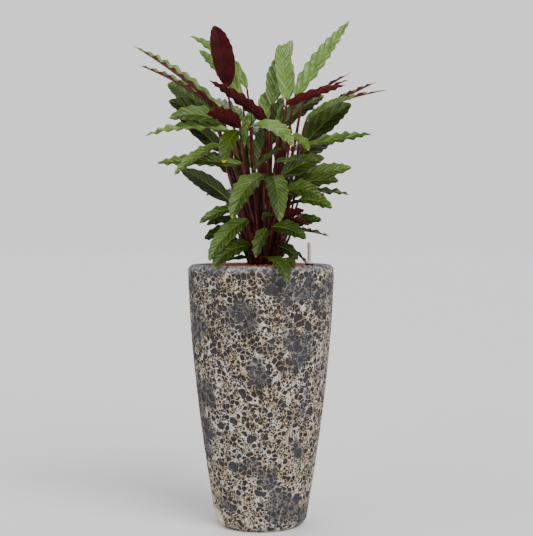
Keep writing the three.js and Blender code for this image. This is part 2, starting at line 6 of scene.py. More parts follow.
import bpy
import numpy as np
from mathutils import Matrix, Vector


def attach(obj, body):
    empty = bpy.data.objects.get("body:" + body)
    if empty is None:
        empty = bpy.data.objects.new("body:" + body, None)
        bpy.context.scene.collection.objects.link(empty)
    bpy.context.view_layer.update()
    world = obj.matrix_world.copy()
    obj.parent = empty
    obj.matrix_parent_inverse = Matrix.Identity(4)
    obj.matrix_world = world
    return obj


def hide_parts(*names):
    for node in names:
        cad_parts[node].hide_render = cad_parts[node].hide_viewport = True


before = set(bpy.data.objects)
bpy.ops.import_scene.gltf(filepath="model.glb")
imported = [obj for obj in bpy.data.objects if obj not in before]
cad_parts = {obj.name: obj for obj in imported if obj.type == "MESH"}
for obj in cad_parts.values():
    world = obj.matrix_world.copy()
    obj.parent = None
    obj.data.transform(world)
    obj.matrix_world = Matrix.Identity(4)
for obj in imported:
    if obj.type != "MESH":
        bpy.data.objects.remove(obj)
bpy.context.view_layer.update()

mm = 0.001

cameraView = {
    "place": (0.0007, -3.0453, 0.7887),  # metres
    "aim": (0.0146, 0.0, 0.6799),
    "lens": 77.1,
    "sensorHeight": 36.0,
}

studio = {
    "floorSize": 60.0,  # metres
    "floorColour": (0.92, 0.92, 0.92, 1.0),
    "backdrop": (1.0, 1.0, 1.0, 1.0),
    "backdropSeen": 1.12,  # as bright as the lit floor, so that the two meet without a line
    "backdropGlow": 0.42,  # the light that it gives
    # where each soft light stands as seen from the plant, how wide it is in degrees, and its strength
    "lights": [
        {"name": "rightKey", "from": (1.6, -2.3, 2.5), "width": 42, "strength": 2.5},
        {"name": "leftFill", "from": (-2.6, -1.7, 1.7), "width": 60, "strength": 0.8},
        {"name": "backTop", "from": (-0.6, 1.8, 2.4), "width": 50, "strength": 0.9},
    ],
}


def addCamera():
    camera = bpy.data.objects.new("photoCamera", bpy.data.cameras.new("photoCamera"))
    camera.data.sensor_fit = "VERTICAL"
    camera.data.sensor_height = cameraView["sensorHeight"]
    camera.data.lens = cameraView["lens"]
    camera.location = cameraView["place"]
    sight = Vector(cameraView["aim"]) - Vector(cameraView["place"])
    camera.rotation_euler = sight.to_track_quat("-Z", "Y").to_euler()
    bpy.context.scene.collection.objects.link(camera)
    bpy.context.scene.camera = camera


# Shorthand for nodes, the same for a material and for Geometry Nodes
def feed(tree, socket, value):
    if isinstance(value, bpy.types.NodeSocket):
        tree.links.new(value, socket)
    else:
        socket.default_value = value


def addNode(tree, kind, inputs=None, **settings):
    made = tree.nodes.new(kind)
    for name, value in settings.items():
        setattr(made, name, value)
    for name, value in (inputs or {}).items():
        feed(tree, made.inputs[name], value)
    return made


def maths(tree, operation, *values, clamp=False):
    made = addNode(tree, "ShaderNodeMath", operation=operation, use_clamp=clamp)
    for socket, value in zip(made.inputs, values):
        feed(tree, socket, value)
    return made.outputs[0]


def times(tree, *values, clamp=False):
    return maths(tree, "MULTIPLY", *values, clamp=clamp)


def plus(tree, *values, clamp=False):
    return maths(tree, "ADD", *values, clamp=clamp)


def minus(tree, *values):
    return maths(tree, "SUBTRACT", *values)


def moved(tree, place, offset, factor):
    # place + offset * factor
    scaled = addNode(tree, "ShaderNodeVectorMath", {0: offset, "Scale": factor}, operation="SCALE")
    added = addNode(tree, "ShaderNodeVectorMath", {0: place, 1: scaled.outputs[0]}, operation="ADD")
    return added.outputs[0]


def ramp(tree, value, low, high, toLow=0.0, toHigh=1.0, kind="SMOOTHSTEP"):
    made = addNode(tree, "ShaderNodeMapRange", interpolation_type=kind)
    for index, given in enumerate((value, low, high, toLow, toHigh)):
        feed(tree, made.inputs[index], given)
    return made.outputs[0]


def blend(tree, factor, first, second):
    made = addNode(tree, "ShaderNodeMix", data_type="RGBA")
    for index, given in ((0, factor), (6, first), (7, second)):
        feed(tree, made.inputs[index], given)
    return made.outputs[2]


def pick(tree, choice, whenNot, when):
    made = addNode(tree, "ShaderNodeMix", data_type="FLOAT")
    for index, given in ((0, choice), (2, whenNot), (3, when)):
        feed(tree, made.inputs[index], given)
    return made.outputs[0]


def parts(tree, vector):
    return addNode(tree, "ShaderNodeSeparateXYZ", {0: vector}).outputs


def noise(tree, place, size, detail=2.0, roughness=0.5):
    # size is that of the larger blotches, in mm
    made = addNode(tree, "ShaderNodeTexNoise", {
        "Vector": place,
        "Scale": 1 / (size * mm),
        "Detail": detail,
        "Roughness": roughness,
    })
    return made.outputs


def cells(tree, place, size, feature):
    inputs = {"Vector": place, "Scale": 1 / (size * mm)}
    return addNode(tree, "ShaderNodeTexVoronoi", inputs, feature=feature).outputs


def tint(red, green, blue):
    # A colour given as 0 to 255 on the screen
    def linear(value):
        share = value / 255
        return share / 12.92 if share <= 0.04045 else ((share + 0.055) / 1.055) ** 2.4
    return (linear(red), linear(green), linear(blue), 1.0)


def startMaterial(name, roughness=0.5, specular=0.5):
    material = bpy.data.materials.new(name)
    material.use_nodes = True
    tree = material.node_tree
    shader = tree.nodes["Principled BSDF"]
    shader.inputs["Roughness"].default_value = roughness
    shader.inputs["Specular IOR Level"].default_value = specular
    return material, tree, shader


def objectPlace(tree):
    return addNode(tree, "ShaderNodeTexCoord").outputs["Object"]


def attribute(tree, name, output="Vector"):
    return addNode(tree, "ShaderNodeAttribute", attribute_name=name).outputs[output]


def addBump(tree, shader, height, depth, strength=1.0):
    # height runs from 0 to 1 and depth is in mm
    bump = addNode(tree, "ShaderNodeBump", {"Height": height, "Distance": depth * mm, "Strength": strength})
    tree.links.new(bump.outputs[0], shader.inputs["Normal"])


# Shorthand for Geometry Nodes
def startGeometry(name, inputs):
    tree = bpy.data.node_groups.new(name, "GeometryNodeTree")
    tree.interface.new_socket("Geometry", in_out="INPUT", socket_type="NodeSocketGeometry")
    for title, kind in inputs.items():
        tree.interface.new_socket(title, in_out="INPUT", socket_type=f"NodeSocket{kind}")
    tree.interface.new_socket("Geometry", in_out="OUTPUT", socket_type="NodeSocketGeometry")
    return tree, addNode(tree, "NodeGroupInput").outputs, addNode(tree, "NodeGroupOutput").inputs[0]


def namedField(tree, name, kind="FLOAT"):
    return addNode(tree, "GeometryNodeInputNamedAttribute", {"Name": name}, data_type=kind).outputs[0]


def keepField(tree, geometry, name, value, kind="FLOAT", domain="POINT"):
    return addNode(tree, "GeometryNodeStoreNamedAttribute", {
        "Geometry": geometry, "Name": name, "Value": value}, data_type=kind, domain=domain).outputs[0]


def withMaterial(tree, geometry, material, selection=True):
    inputs = {"Geometry": geometry, "Selection": selection, "Material": material}
    return addNode(tree, "GeometryNodeSetMaterial", inputs).outputs[0]


def smoothed(tree, geometry):
    return addNode(tree, "GeometryNodeSetShadeSmooth", {"Geometry": geometry}).outputs[0]


def realized(tree, geometry):
    return addNode(tree, "GeometryNodeRealizeInstances", {0: geometry}).outputs[0]


def pushed(tree, geometry, lift):
    # each point goes along its normal
    normal = addNode(tree, "GeometryNodeInputNormal").outputs[0]
    inputs = {"Geometry": geometry, "Offset": moved(tree, (0, 0, 0), normal, lift)}
    return addNode(tree, "GeometryNodeSetPosition", inputs).outputs[0]


# Runs a tree on a piece and keeps the outcome as its plain mesh
def settle(piece, tree, values):
    modifier = piece.modifiers.new(tree.name, "NODES")
    modifier.node_group = tree
    for item in tree.interface.items_tree:
        if item.in_out == "INPUT" and item.name in values:
            modifier[item.identifier] = values[item.name]
    graph = bpy.context.evaluated_depsgraph_get()
    made = bpy.data.meshes.new_from_object(
        piece.evaluated_get(graph), preserve_all_data_layers=True, depsgraph=graph)
    piece.modifiers.remove(modifier)
    first = piece.data
    piece.data = made
    made.name = piece.name
    bpy.data.meshes.remove(first)


def addPiece(name, places, faces, edges=()):
    mesh = bpy.data.meshes.new(name)
    mesh.from_pydata(places, edges, faces)
    piece = bpy.data.objects.new(name, mesh)
    bpy.context.scene.collection.objects.link(piece)
    return piece


def declare(piece, slot, *nodes):
    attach(piece, "root")
    if nodes:
        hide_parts(*nodes)


# Turns an outline of (radius, height) about +Z; an outline that ends where it starts makes a ring
def turned(outline, segments, centre=(0, 0)):
    isRing = outline[0] == outline[-1]
    outline = outline[:-1] if isRing else outline
    places, rows = [], []
    for radius, height in outline:
        count = 1 if radius == 0 else segments
        rows.append([len(places) + i for i in range(count)])
        for i in range(count):
            angle = 2 * math.pi * i / segments
            x = centre[0] + radius * math.cos(angle)
            y = centre[1] + radius * math.sin(angle)
            places.append((x * mm, y * mm, height * mm))
    faces = []
    pairs = list(zip(rows, rows[1:])) + ([(rows[-1], rows[0])] if isRing else [])
    for low, high in pairs:
        for i in range(segments):
            j = (i + 1) % segments
            corners = [low[i % len(low)], low[j % len(low)], high[j % len(high)], high[i % len(high)]]
            face = list(dict.fromkeys(corners))
            if len(face) > 2:
                faces.append(face)
    return places, faces


def arc(centre, radius, start, end, steps):
    angles = [math.radians(start + (end - start) * i / steps) for i in range(steps + 1)]
    return [(centre[0] + radius * math.cos(a), centre[1] + radius * math.sin(a)) for a in angles]


def bezier(first, pull, last, steps):
    shares = [i / steps for i in range(steps + 1)]
    return [tuple((1 - t) ** 2 * a + 2 * t * (1 - t) * b + t * t * c for a, b, c in zip(first, pull, last))
            for t in shares]


# The pot: the part's own outline with many more points
pot = {
    "height": 690,
    "footRadius": 101,
    "footCorner": 16,
    "lowRadius": 121,
    "belly": (187, 400),
    "rimRadius": 193,
    "rimRounding": 16,
    "cavityFloor": 30,
    "cavityLowRadius": 95,
    "cavityBelly": (158, 400),
    "cavityRimRadius": 160,
    "cavitySteps": 12,
    "segments": 360,
    "sideSteps": 225,
}

craterGlaze = {
    "bigCell": 24,
    "midCell": 13,
    "fineCell": 6.4,
    "tinyCell": 3.1,
    "bigShare": 0.1,
    "midShare": 0.58,
    "roundness": 0.7,  # how far a crater reaches from its middle, as a share of its cell
    "wander": 8,  # how far the cells are pulled out of shape
    "wanderSize": 30,
    "wallSize": 26,  # patches of thinner and thicker lace
    "thinWall": 0.12,
    "thickWall": 0.85,
    "lowWall": 0.32,  # more towards the foot, where the pores are finer
    "lowWallTop": 360,
    "lowWallFoot": 80,
    "bigDepth": 3.0,
    "midDepth": 2.0,
    "bigSlope": 3.6,  # from a crater's edge to its full depth
    "midSlope": 2.4,
    "laceHeight": 0.6,
    "smoothSize": 95,  # patches where the lace sinks into a smooth glaze
    "rimBand": 20,  # how far down from the top the glaze is worn smooth
    "wallLean": 0.12,  # outwards for each unit of height
    "innerFace": 82,  # the wall's faces, once its lean is taken off
    "outerFace": 94,
    "footBand": (4, 14),  # heights between which the craters begin
    "barePatch": (-112, -36, 26),  # where the clay shows at the foot
    "barePatchSize": 34,
    # colours
    "cream": tint(204, 190, 166),
    "tan": tint(128, 104, 80),
    "white": tint(216, 216, 212),
    "umber": tint(44, 33, 28),
    "charcoal": tint(52, 52, 58),
    "slate": tint(78, 78, 86),
    "poreShade": tint(17, 13, 12),
    "worn": tint(184, 184, 186),
    "clay": tint(214, 205, 190),
    "inside": tint(112, 117, 127),
}


def potOutline():
    rimCentre = pot["height"] - pot["rimRounding"]
    rounding = pot["rimRounding"]
    corner = pot["footCorner"]
    outer = bezier((pot["lowRadius"], corner), pot["belly"], (pot["rimRadius"], rimCentre), pot["sideSteps"])
    inner = bezier((pot["cavityLowRadius"], pot["cavityFloor"]), pot["cavityBelly"],
                   (pot["cavityRimRadius"], rimCentre), pot["cavitySteps"])
    return ([(0, 0)]
            + arc((pot["footRadius"], corner), corner, -90, -12, 6)
            + outer
            + arc((pot["rimRadius"] - rounding, rimCentre), rounding, 8, 90, 8)
            + arc((pot["cavityRimRadius"] + rounding, rimCentre), rounding, 90, 176, 6)[1:]
            + inner[::-1]
            + [(0, pot["cavityFloor"])])


# How far inside a crater a place is, in mm and negative on the lace between craters, and a
# number from 0 to 1 for each crater
def craterCells(tree, place, size, wall):
    nearest = cells(tree, place, size, "F1")
    edge = cells(tree, place, size, "DISTANCE_TO_EDGE")["Distance"]
    room = minus(tree, craterGlaze["roundness"], nearest["Distance"])
    inside = times(tree, maths(tree, "MINIMUM", edge, room), size)
    return minus(tree, inside, wall), parts(tree, nearest["Color"])[0]


# Big craters among middling ones among fine pores, the same for the relief and the colours
def craterField(tree, place):
    look = craterGlaze
    either = {0: noise(tree, place, look["wanderSize"])["Color"], 1: (0.5, 0.5, 0.5)}
    swirl = addNode(tree, "ShaderNodeVectorMath", either, operation="SUBTRACT").outputs[0]
    place = moved(tree, place, swirl, look["wander"] * mm * 2)
    height = parts(tree, place)[2]
    towardsFoot = ramp(tree, height, look["lowWallTop"] * mm, look["lowWallFoot"] * mm, 0.0, look["lowWall"])
    wallNoise = noise(tree, place, look["wallSize"], 3.0)[0]
    wall = ramp(tree, wallNoise, 0.38, 0.66, look["thinWall"], look["thickWall"], "LINEAR")
    wall = plus(tree, wall, towardsFoot)
    big, bigLot = craterCells(tree, place, look["bigCell"], wall)
    mid, midLot = craterCells(tree, place, look["midCell"], wall)
    fineWall = times(tree, wall, 0.6)
    fine, fineLot = craterCells(tree, place, look["fineCell"], fineWall)
    isBig = maths(tree, "GREATER_THAN", bigLot, 1 - look["bigShare"])
    isMid = maths(tree, "GREATER_THAN", midLot, 1 - look["midShare"])
    return {
        "inside": pick(tree, isBig, pick(tree, isMid, fine, mid), big),
        "lot": pick(tree, isBig, pick(tree, isMid, fineLot, midLot), bigLot),
        "isBig": isBig,
        "isMid": isMid,
    }


# How strongly the craters show: not on the worn rim, the inner wall or the foot
def craterPresence(tree, place):
    look = craterGlaze
    x, y, z = parts(tree, place)
    radius = maths(tree, "SQRT", plus(tree, times(tree, x, x), times(tree, y, y)))
    top = pot["height"] * mm
    ragged = times(tree, minus(tree, noise(tree, place, 30, 3.0)[0], 0.5), 0.045)
    belowRim = ramp(tree, plus(tree, z, ragged), top, top - look["rimBand"] * mm)
    upright = minus(tree, radius, times(tree, z, look["wallLean"]))
    outside = ramp(tree, upright, look["innerFace"] * mm, look["outerFace"] * mm)
    aboveFoot = ramp(tree, z, *[height * mm for height in look["footBand"]])
    return belowRim, outside, aboveFoot


def potTree():
    tree, given, result = startGeometry("craterRelief", {
        "Crater depth": "Float", "Lace height": "Float", "Glaze": "Material"})
    place = addNode(tree, "GeometryNodeInputPosition").outputs[0]
    kept = keepField(tree, given["Geometry"], "restPlace", place, "FLOAT_VECTOR")
    field = craterField(tree, place)
    belowRim, outside, aboveFoot = craterPresence(tree, place)
    look = craterGlaze
    bigHole = times(tree, ramp(tree, field["inside"], 0.0, look["bigSlope"]), look["bigDepth"])
    midHole = times(tree, ramp(tree, field["inside"], 0.0, look["midSlope"]), look["midDepth"])
    hole = pick(tree, field["isBig"], times(tree, midHole, field["isMid"]), bigHole)
    lace = ramp(tree, field["inside"], 0.6, -0.4)
    lift = minus(tree, times(tree, lace, given["Lace height"]), times(tree, hole, given["Crater depth"]))
    presence = times(tree, times(tree, belowRim, outside), aboveFoot)
    lift = times(tree, times(tree, lift, presence), mm)
    whole = realized(tree, smoothed(tree, pushed(tree, kept, lift)))
    tree.links.new(withMaterial(tree, whole, given["Glaze"]), result)
    return tree


def glazeMaterial():
    look = craterGlaze
    material, tree, shader = startMaterial("craterGlaze", 0.6, 0.22)
    place = attribute(tree, "restPlace")
    field = craterField(tree, place)
    belowRim, outside, _ = craterPresence(tree, place)
    inside = field["inside"]
    blotch = noise(tree, place, 75, 3.0)[0]
    grain = noise(tree, place, 4.0, 4.0, 0.65)[0]

    # Crater floors, from umber to charcoal, with painted shade: darkest in the small pores and along the edge
    # under the lace
    zone = times(tree, ramp(tree, blotch, 0.4, 0.62), 0.55)
    floorMix = plus(tree, times(tree, field["lot"], 0.6), zone, clamp=True)
    floor = blend(tree, floorMix, look["umber"], look["charcoal"])
    floor = blend(tree, ramp(tree, grain, 0.42, 0.8, 0.0, 0.3), floor, look["tan"])
    wide = maths(tree, "MAXIMUM", field["isBig"], times(tree, field["isMid"], 0.7))
    # Painted shade: the small pores are darkened towards the near-black pore colour
    floor = blend(tree, times(tree, minus(tree, 1.0, wide), 0.6), floor, look["poreShade"])
    # Painted shadow: a dark band along each crater's edge, under the lace
    floor = blend(tree, ramp(tree, inside, 1.5, 0.0, 0.0, 0.8), floor, look["poreShade"])

    # Lace, tan where it is thin and cream to white where it is thick, with tiny pores
    laceMix = ramp(tree, noise(tree, place, 7, 4.0, 0.65)[0], 0.36, 0.62)
    lace = blend(tree, laceMix, look["tan"], look["cream"])
    whiteMix = times(tree, ramp(tree, noise(tree, place, 5, 3.0)[0], 0.45, 0.6),
                     ramp(tree, noise(tree, place, 40, 2.0)[0], 0.42, 0.6))
    lace = blend(tree, whiteMix, lace, look["white"])
    tiny = cells(tree, place, look["tinyCell"], "F1")["Distance"]
    pinholes = times(tree, ramp(tree, tiny, 0.36, 0.16), ramp(tree, grain, 0.4, 0.55, 0.2, 0.85))
    lace = blend(tree, pinholes, lace, look["umber"])
    laceEdge = plus(tree, inside, times(tree, minus(tree, grain, 0.5), 2.2))
    isLace = ramp(tree, laceEdge, 0.55, -0.1)
    quiet = ramp(tree, noise(tree, place, look["smoothSize"], 3.0)[0], 0.62, 0.48, 0.0, 1.0)
    calmMix = ramp(tree, noise(tree, place, 12, 3.0)[0], 0.35, 0.65)
    calm = blend(tree, calmMix, look["charcoal"], look["slate"])
    lace = blend(tree, quiet, blend(tree, 0.25, calm, lace), lace)
    floor = blend(tree, times(tree, minus(tree, 1.0, quiet), 0.5), floor, calm)
    colour = blend(tree, isLace, floor, lace)

    # The rim is worn smooth, and the inner wall has a plain grey glaze.
    wear = ramp(tree, noise(tree, place, 9, 4.0, 0.6)[0], 0.35, 0.7)
    wornMottle = blend(tree, wear, look["charcoal"], look["worn"])
    wornMix = times(tree, minus(tree, 1.0, belowRim), 0.9)
    colour = blend(tree, wornMix, colour, wornMottle)
    colour = blend(tree, outside, blend(tree, 0.35, look["inside"], wornMottle), colour)

    # A bare patch at the foot
    patch = tuple(c * mm for c in look["barePatch"])
    away = addNode(tree, "ShaderNodeVectorMath", {0: place, 1: patch}, operation="DISTANCE").outputs["Value"]
    away = plus(tree, away, times(tree, minus(tree, blotch, 0.5), 0.08))
    size = look["barePatchSize"] * mm
    colour = blend(tree, ramp(tree, away, size, size * 0.7, 0.0, 0.9), colour, look["clay"])
    tree.links.new(colour, shader.inputs["Base Color"])

    roughness = ramp(tree, grain, 0.3, 0.7, 0.5, 0.75, "LINEAR")
    tree.links.new(roughness, shader.inputs["Roughness"])
    rough = times(tree, minus(tree, grain, times(tree, pinholes, 0.4)), 0.35)
    relief = plus(tree, times(tree, ramp(tree, inside, 1.6, -0.6), 0.7), rough)
    relief = times(tree, relief, times(tree, belowRim, outside))
    addBump(tree, shader, relief, 1.8, 1.0)
    return material


def makePot():
    piece = addPiece("crater_pot", *turned(potOutline(), pot["segments"]))
    settle(piece, potTree(), {
        "Crater depth": 1.0, "Lace height": craterGlaze["laceHeight"], "Glaze": glazeMaterial()})
    declare(piece, "glaze", "pot")


# Expanded clay granules over the insert and the roots
granules = {
    "top": 683,
    "mound": 4,
    "edgeRadius": 156,
    "spacing": 6.6,
    "smallest": 3.4,  # radii
    "largest": 5.2,
    "sink": 0.5,
    "dent": 1.9,
    "cell": 5.0,  # of the grid that they are strewn on
    "density": 60000.0,  # for a square metre, before the spacing thins them out
    "seed": 4,
    "leastShape": (0.8, 0.8, 0.7),
    "mostShape": (1.2, 1.2, 1.0),
    "moundRadius": 90,  # the mound is level inside this
    "clearOfSheath": 2.2,
    "clearOfGauge": 3,
    "clearOfWall": 2,
    "red": tint(196, 108, 86),
    "rust": tint(150, 78, 62),
    "dust": tint(214, 158, 136),
    "shade": tint(88, 48, 40),
}


def granuleTree():
    tree, given, result = startGeometry("strewGranules", {
        "Spacing": "Float", "Smallest": "Float", "Largest": "Float", "Dent": "Float", "Seed": "Int",
        "Granule": "Material"})
    strewn = addNode(tree, "GeometryNodeDistributePointsOnFaces", {
        "Mesh": given["Geometry"], "Distance Min": given["Spacing"],
        "Density Max": granules["density"], "Seed": given["Seed"]}, distribute_method="POISSON")
    pebble = addNode(tree, "GeometryNodeMeshIcoSphere", {"Radius": 1.0, "Subdivisions": 2}).outputs[0]
    turn = addNode(tree, "FunctionNodeRandomValue", data_type="FLOAT_VECTOR")
    feed(tree, turn.inputs[1], (6.28, 6.28, 6.28))
    feed(tree, turn.inputs["Seed"], 3)
    size = addNode(tree, "FunctionNodeRandomValue", data_type="FLOAT")
    feed(tree, size.inputs[2], given["Smallest"])
    feed(tree, size.inputs[3], given["Largest"])
    feed(tree, size.inputs["Seed"], 5)
    shape = addNode(tree, "FunctionNodeRandomValue", data_type="FLOAT_VECTOR")
    feed(tree, shape.inputs[0], granules["leastShape"])
    feed(tree, shape.inputs[1], granules["mostShape"])
    factors = {0: shape.outputs[0], "Scale": size.outputs[1]}
    scale = addNode(tree, "ShaderNodeVectorMath", factors, operation="SCALE")
    placed = addNode(tree, "GeometryNodeInstanceOnPoints", {
        "Points": strewn.outputs["Points"], "Instance": pebble,
        "Rotation": turn.outputs[0], "Scale": scale.outputs[0]}).outputs[0]
    tone = addNode(tree, "FunctionNodeRandomValue", {"Seed": 9}, data_type="FLOAT").outputs[1]
    placed = keepField(tree, placed, "granuleTone", tone, domain="INSTANCE")
    whole = realized(tree, placed)
    place = addNode(tree, "GeometryNodeInputPosition").outputs[0]
    dent = times(tree, minus(tree, noise(tree, place, 6.0)[0], 0.55), given["Dent"])
    smooth = smoothed(tree, pushed(tree, whole, dent))
    tree.links.new(withMaterial(tree, smooth, given["Granule"]), result)
    return tree


def granuleMaterial(name="clayGranule", dark=0.0):
    material, tree, shader = startMaterial(name, 0.9, 0.2)
    place = objectPlace(tree)
    tone = attribute(tree, "granuleTone", "Fac")
    colour = blend(tree, ramp(tree, tone, 0.1, 0.9), granules["rust"], granules["red"])
    dust = ramp(tree, noise(tree, place, 3.0, 4.0, 0.6)[0], 0.5, 0.72, 0.0, 0.7)
    colour = blend(tree, dust, colour, granules["dust"])
    pores = ramp(tree, cells(tree, place, 1.3, "F1")["Distance"], 0.32, 0.12)
    colour = blend(tree, times(tree, pores, 0.6), colour, granules["shade"])
    # dark blends the colour towards the shade colour, as painted shade
    if dark:
        colour = blend(tree, dark, colour, granules["shade"])
    tree.links.new(colour, shader.inputs["Base Color"])
    grain = noise(tree, place, 1.6, 4.0, 0.65)[0]
    addBump(tree, shader, minus(tree, grain, times(tree, pores, 0.5)), 0.5, 0.7)
    return material


# The granules are strewn on a grid that leaves out the sheaths and the gauge.
def makeGranules(feet):
    reach = granules["edgeRadius"]
    cell = granules["cell"]
    count = int(2 * reach / cell)
    barred = [(foot.x, foot.y, sheath["radius"] + granules["clearOfSheath"]) for foot in feet]
    barred.append((gauge["x"], 0, gauge["baseRadius"] + granules["clearOfGauge"]))
    flat = granules["moundRadius"]
    places, faces = [], []
    for i in range(count):
        for j in range(count):
            x, y = -reach + (i + 0.5) * cell, -reach + (j + 0.5) * cell
            free = all(math.hypot(x - bx, y - by) > clear for bx, by, clear in barred)
            if math.hypot(x, y) < reach - granules["clearOfWall"] and free:
                start = len(places)
                faces.append([start, start + 1, start + 2, start + 3])
                for dx, dy in ((0, 0), (1, 0), (1, 1), (0, 1)):
                    px, py = x + (dx - 0.5) * cell, y + (dy - 0.5) * cell
                    away = max(0, math.hypot(px, py) - flat) / (reach - flat)
                    height = granules["top"] + granules["mound"] * (1 - away) - granules["sink"]
                    places.append((px * mm, py * mm, height * mm))
    piece = addPiece("clay_granules", places, faces)
    settle(piece, granuleTree(), {
        "Spacing": granules["spacing"] * mm, "Smallest": granules["smallest"] * mm,
        "Largest": granules["largest"] * mm, "Dent": granules["dent"] * mm,
        "Seed": granules["seed"], "Granule": granuleMaterial()})
    declare(piece, "clay_granules")


# The water gauge beside the plant, on the same outlines as the part's
gauge = {
    "x": 128,
    "segments": 40,
    "shaftFoot": 484.3,
    "shaftRadius": 9,
    "shaftWall": 1.5,
    "baseFoot": 684.5,
    "baseRadius": 12,
    "baseHeight": 7.5,
    "glassFoot": 692.3,
    "domeRadius": 10.5,
    "domeHeight": 8,
    "domeFoot": 1.4,  # upright before it curves in
    # radius and height of the dome's points, and depth and height of the groove's
    "domeCurve": ((10.2, 2.7), (9.4, 4.1), (8.1, 5.5), (6.9, 6.7), (5.7, 7.5), (5.1, 7.8)),
    "collarGroove": ((0, 1.6), (0.5, 2.0), (0.5, 2.4), (0, 2.8)),
    "clearance": 0.3,  # between the shaft and the base
    "rodRoom": 0.5,
    "sharpAngle": 35,  # degrees, past which an edge isn't shaded smooth
    "clearness": 0.35,
    "refraction": 1.49,
    "tubeRadius": 4.9,
    "tubeWall": 1.1,
    "tubeTop": 748.3,
    "floatRadius": 6.8,
    "floatFoot": 525.8,
    "floatShoulder": 565.8,
    "rodRadius": 1.8,
    "tipRadius": 2.6,
    "tipFoot": 697.8,
    "tipTop": 704.8,
    "markHeights": (720.6, 736.3),
    "markWidth": 2.0,
    "plastic": tint(34, 28, 34),
    "clear": tint(250, 249, 248),
    "orange": tint(214, 84, 40),
    "yellow": tint(228, 200, 104),
}


def plasticMaterial(name, colour, roughness, speckle=0.12):
    material, tree, shader = startMaterial(name, roughness, 0.5)
    place = objectPlace(tree)
    mottle = noise(tree, place, 6.0, 4.0, 0.6)[0]
    darker = tuple(c * (1 - 2 * speckle) for c in colour[:3]) + (1.0,)
    tree.links.new(blend(tree, ramp(tree, mottle, 0.3, 0.7), darker, colour), shader.inputs["Base Color"])
    tree.links.new(ramp(tree, mottle, 0.3, 0.7, roughness - 0.06, roughness + 0.08, "LINEAR"),
                   shader.inputs["Roughness"])
    addBump(tree, shader, noise(tree, place, 0.9, 2.0)[0], 0.05, 0.4)
    return material


def clearMaterial():
    material, tree, shader = startMaterial("clearPlastic", 0.08, 0.5)
    place = objectPlace(tree)
    haze = ramp(tree, noise(tree, place, 14.0, 3.0)[0], 0.3, 0.7, 0.05, 0.16, "LINEAR")
    tree.links.new(haze, shader.inputs["Roughness"])
    shader.inputs["Base Color"].default_value = gauge["clear"]
    shader.inputs["Transmission Weight"].default_value = gauge["clearness"]
    shader.inputs["IOR"].default_value = gauge["refraction"]
    return material


def turnedPiece(name, outline, material, slot, *nodes):
    piece = addPiece(name, *turned(outline, gauge["segments"], (gauge["x"], 0)))
    piece.data.polygons.foreach_set("use_smooth", [True] * len(piece.data.polygons))
    piece.data.set_sharp_from_angle(angle=math.radians(gauge["sharpAngle"]))
    piece.data.materials.append(material)
    declare(piece, slot, *nodes)


def makeGauge():
    g = gauge
    black = plasticMaterial("blackPlastic", g["plastic"], 0.45)
    orange = plasticMaterial("orangePlastic", g["orange"], 0.4)
    yellow = plasticMaterial("yellowMark", g["yellow"], 0.5)
    shaftTop = g["baseFoot"] - g["clearance"]
    inner = g["shaftRadius"] - g["shaftWall"]
    turnedPiece("gauge_sleeve", [
        (0, g["shaftFoot"]), (g["shaftRadius"] - 1, g["shaftFoot"]),
        *arc((g["shaftRadius"] - 1, g["shaftFoot"] + 1), 1, -70, 0, 3),
        (g["shaftRadius"], shaftTop), (inner, shaftTop),
        (inner, g["shaftFoot"] + g["shaftWall"]), (0, g["shaftFoot"] + g["shaftWall"]),
    ], black, "black_plastic", "gauge_shaft")
    foot, top, hole = g["baseFoot"], g["baseFoot"] + g["baseHeight"], g["rodRadius"] + g["rodRoom"]
    turnedPiece("gauge_collar", [
        (hole, foot), (g["baseRadius"] - 0.6, foot),
        *arc((g["baseRadius"] - 0.6, foot + 0.6), 0.6, -60, 0, 2),
        *[(g["baseRadius"] - depth, foot + height) for depth, height in g["collarGroove"]],
        *arc((g["baseRadius"] - 1.5, top - 1.5), 1.5, 0, 90, 4),
        (hole, top), (hole, foot),
    ], black, "black_plastic", "gauge_base")
    foot, dome = g["glassFoot"], g["glassFoot"] + g["domeHeight"]
    bore = g["tubeRadius"] - g["tubeWall"]
    turnedPiece("gauge_glass_tube", [
        (bore, foot), (g["domeRadius"], foot), (g["domeRadius"], foot + g["domeFoot"]),
        *[(radius, foot + height) for radius, height in g["domeCurve"]],
        (g["tubeRadius"], dome + 0.6),
        *arc((g["tubeRadius"] - 1.5, g["tubeTop"] - 1.5), 1.5, 0, 90, 5),
        (0, g["tubeTop"]), (0, g["tubeTop"] - 2),
        (bore, g["tubeTop"] - 2), (bore, foot),
    ], clearMaterial(), "clear_plastic", "gauge_glass")
    turnedPiece("gauge_float_rod", [
        (0, g["floatFoot"]), *arc((g["floatRadius"] - 2, g["floatFoot"] + 2), 2, -90, 0, 4),
        *arc((g["floatRadius"] - 2, g["floatShoulder"] - 2), 2, 0, 90, 4),
        (g["rodRadius"], g["floatShoulder"]), (g["rodRadius"], g["tipFoot"]),
        *arc((g["tipRadius"] - 0.5, g["tipFoot"] + 0.5), 0.5, -90, 0, 2),
        *arc((g["tipRadius"] - 0.8, g["tipTop"] - 0.8), 0.8, 0, 90, 3),
        (0, g["tipTop"]),
    ], orange, "orange_plastic", "gauge_float")
    sunk, proud = g["tubeRadius"] - 0.3, g["tubeRadius"] + 0.12
    for count, height in enumerate(g["markHeights"], 1):
        low, high = height - g["markWidth"] / 2, height + g["markWidth"] / 2
        ring = [(sunk, low), (proud, low), (proud, high), (sunk, high)]
        turnedPiece(f"gauge_mark_{count}", ring + ring[:1], yellow, "orange_plastic")
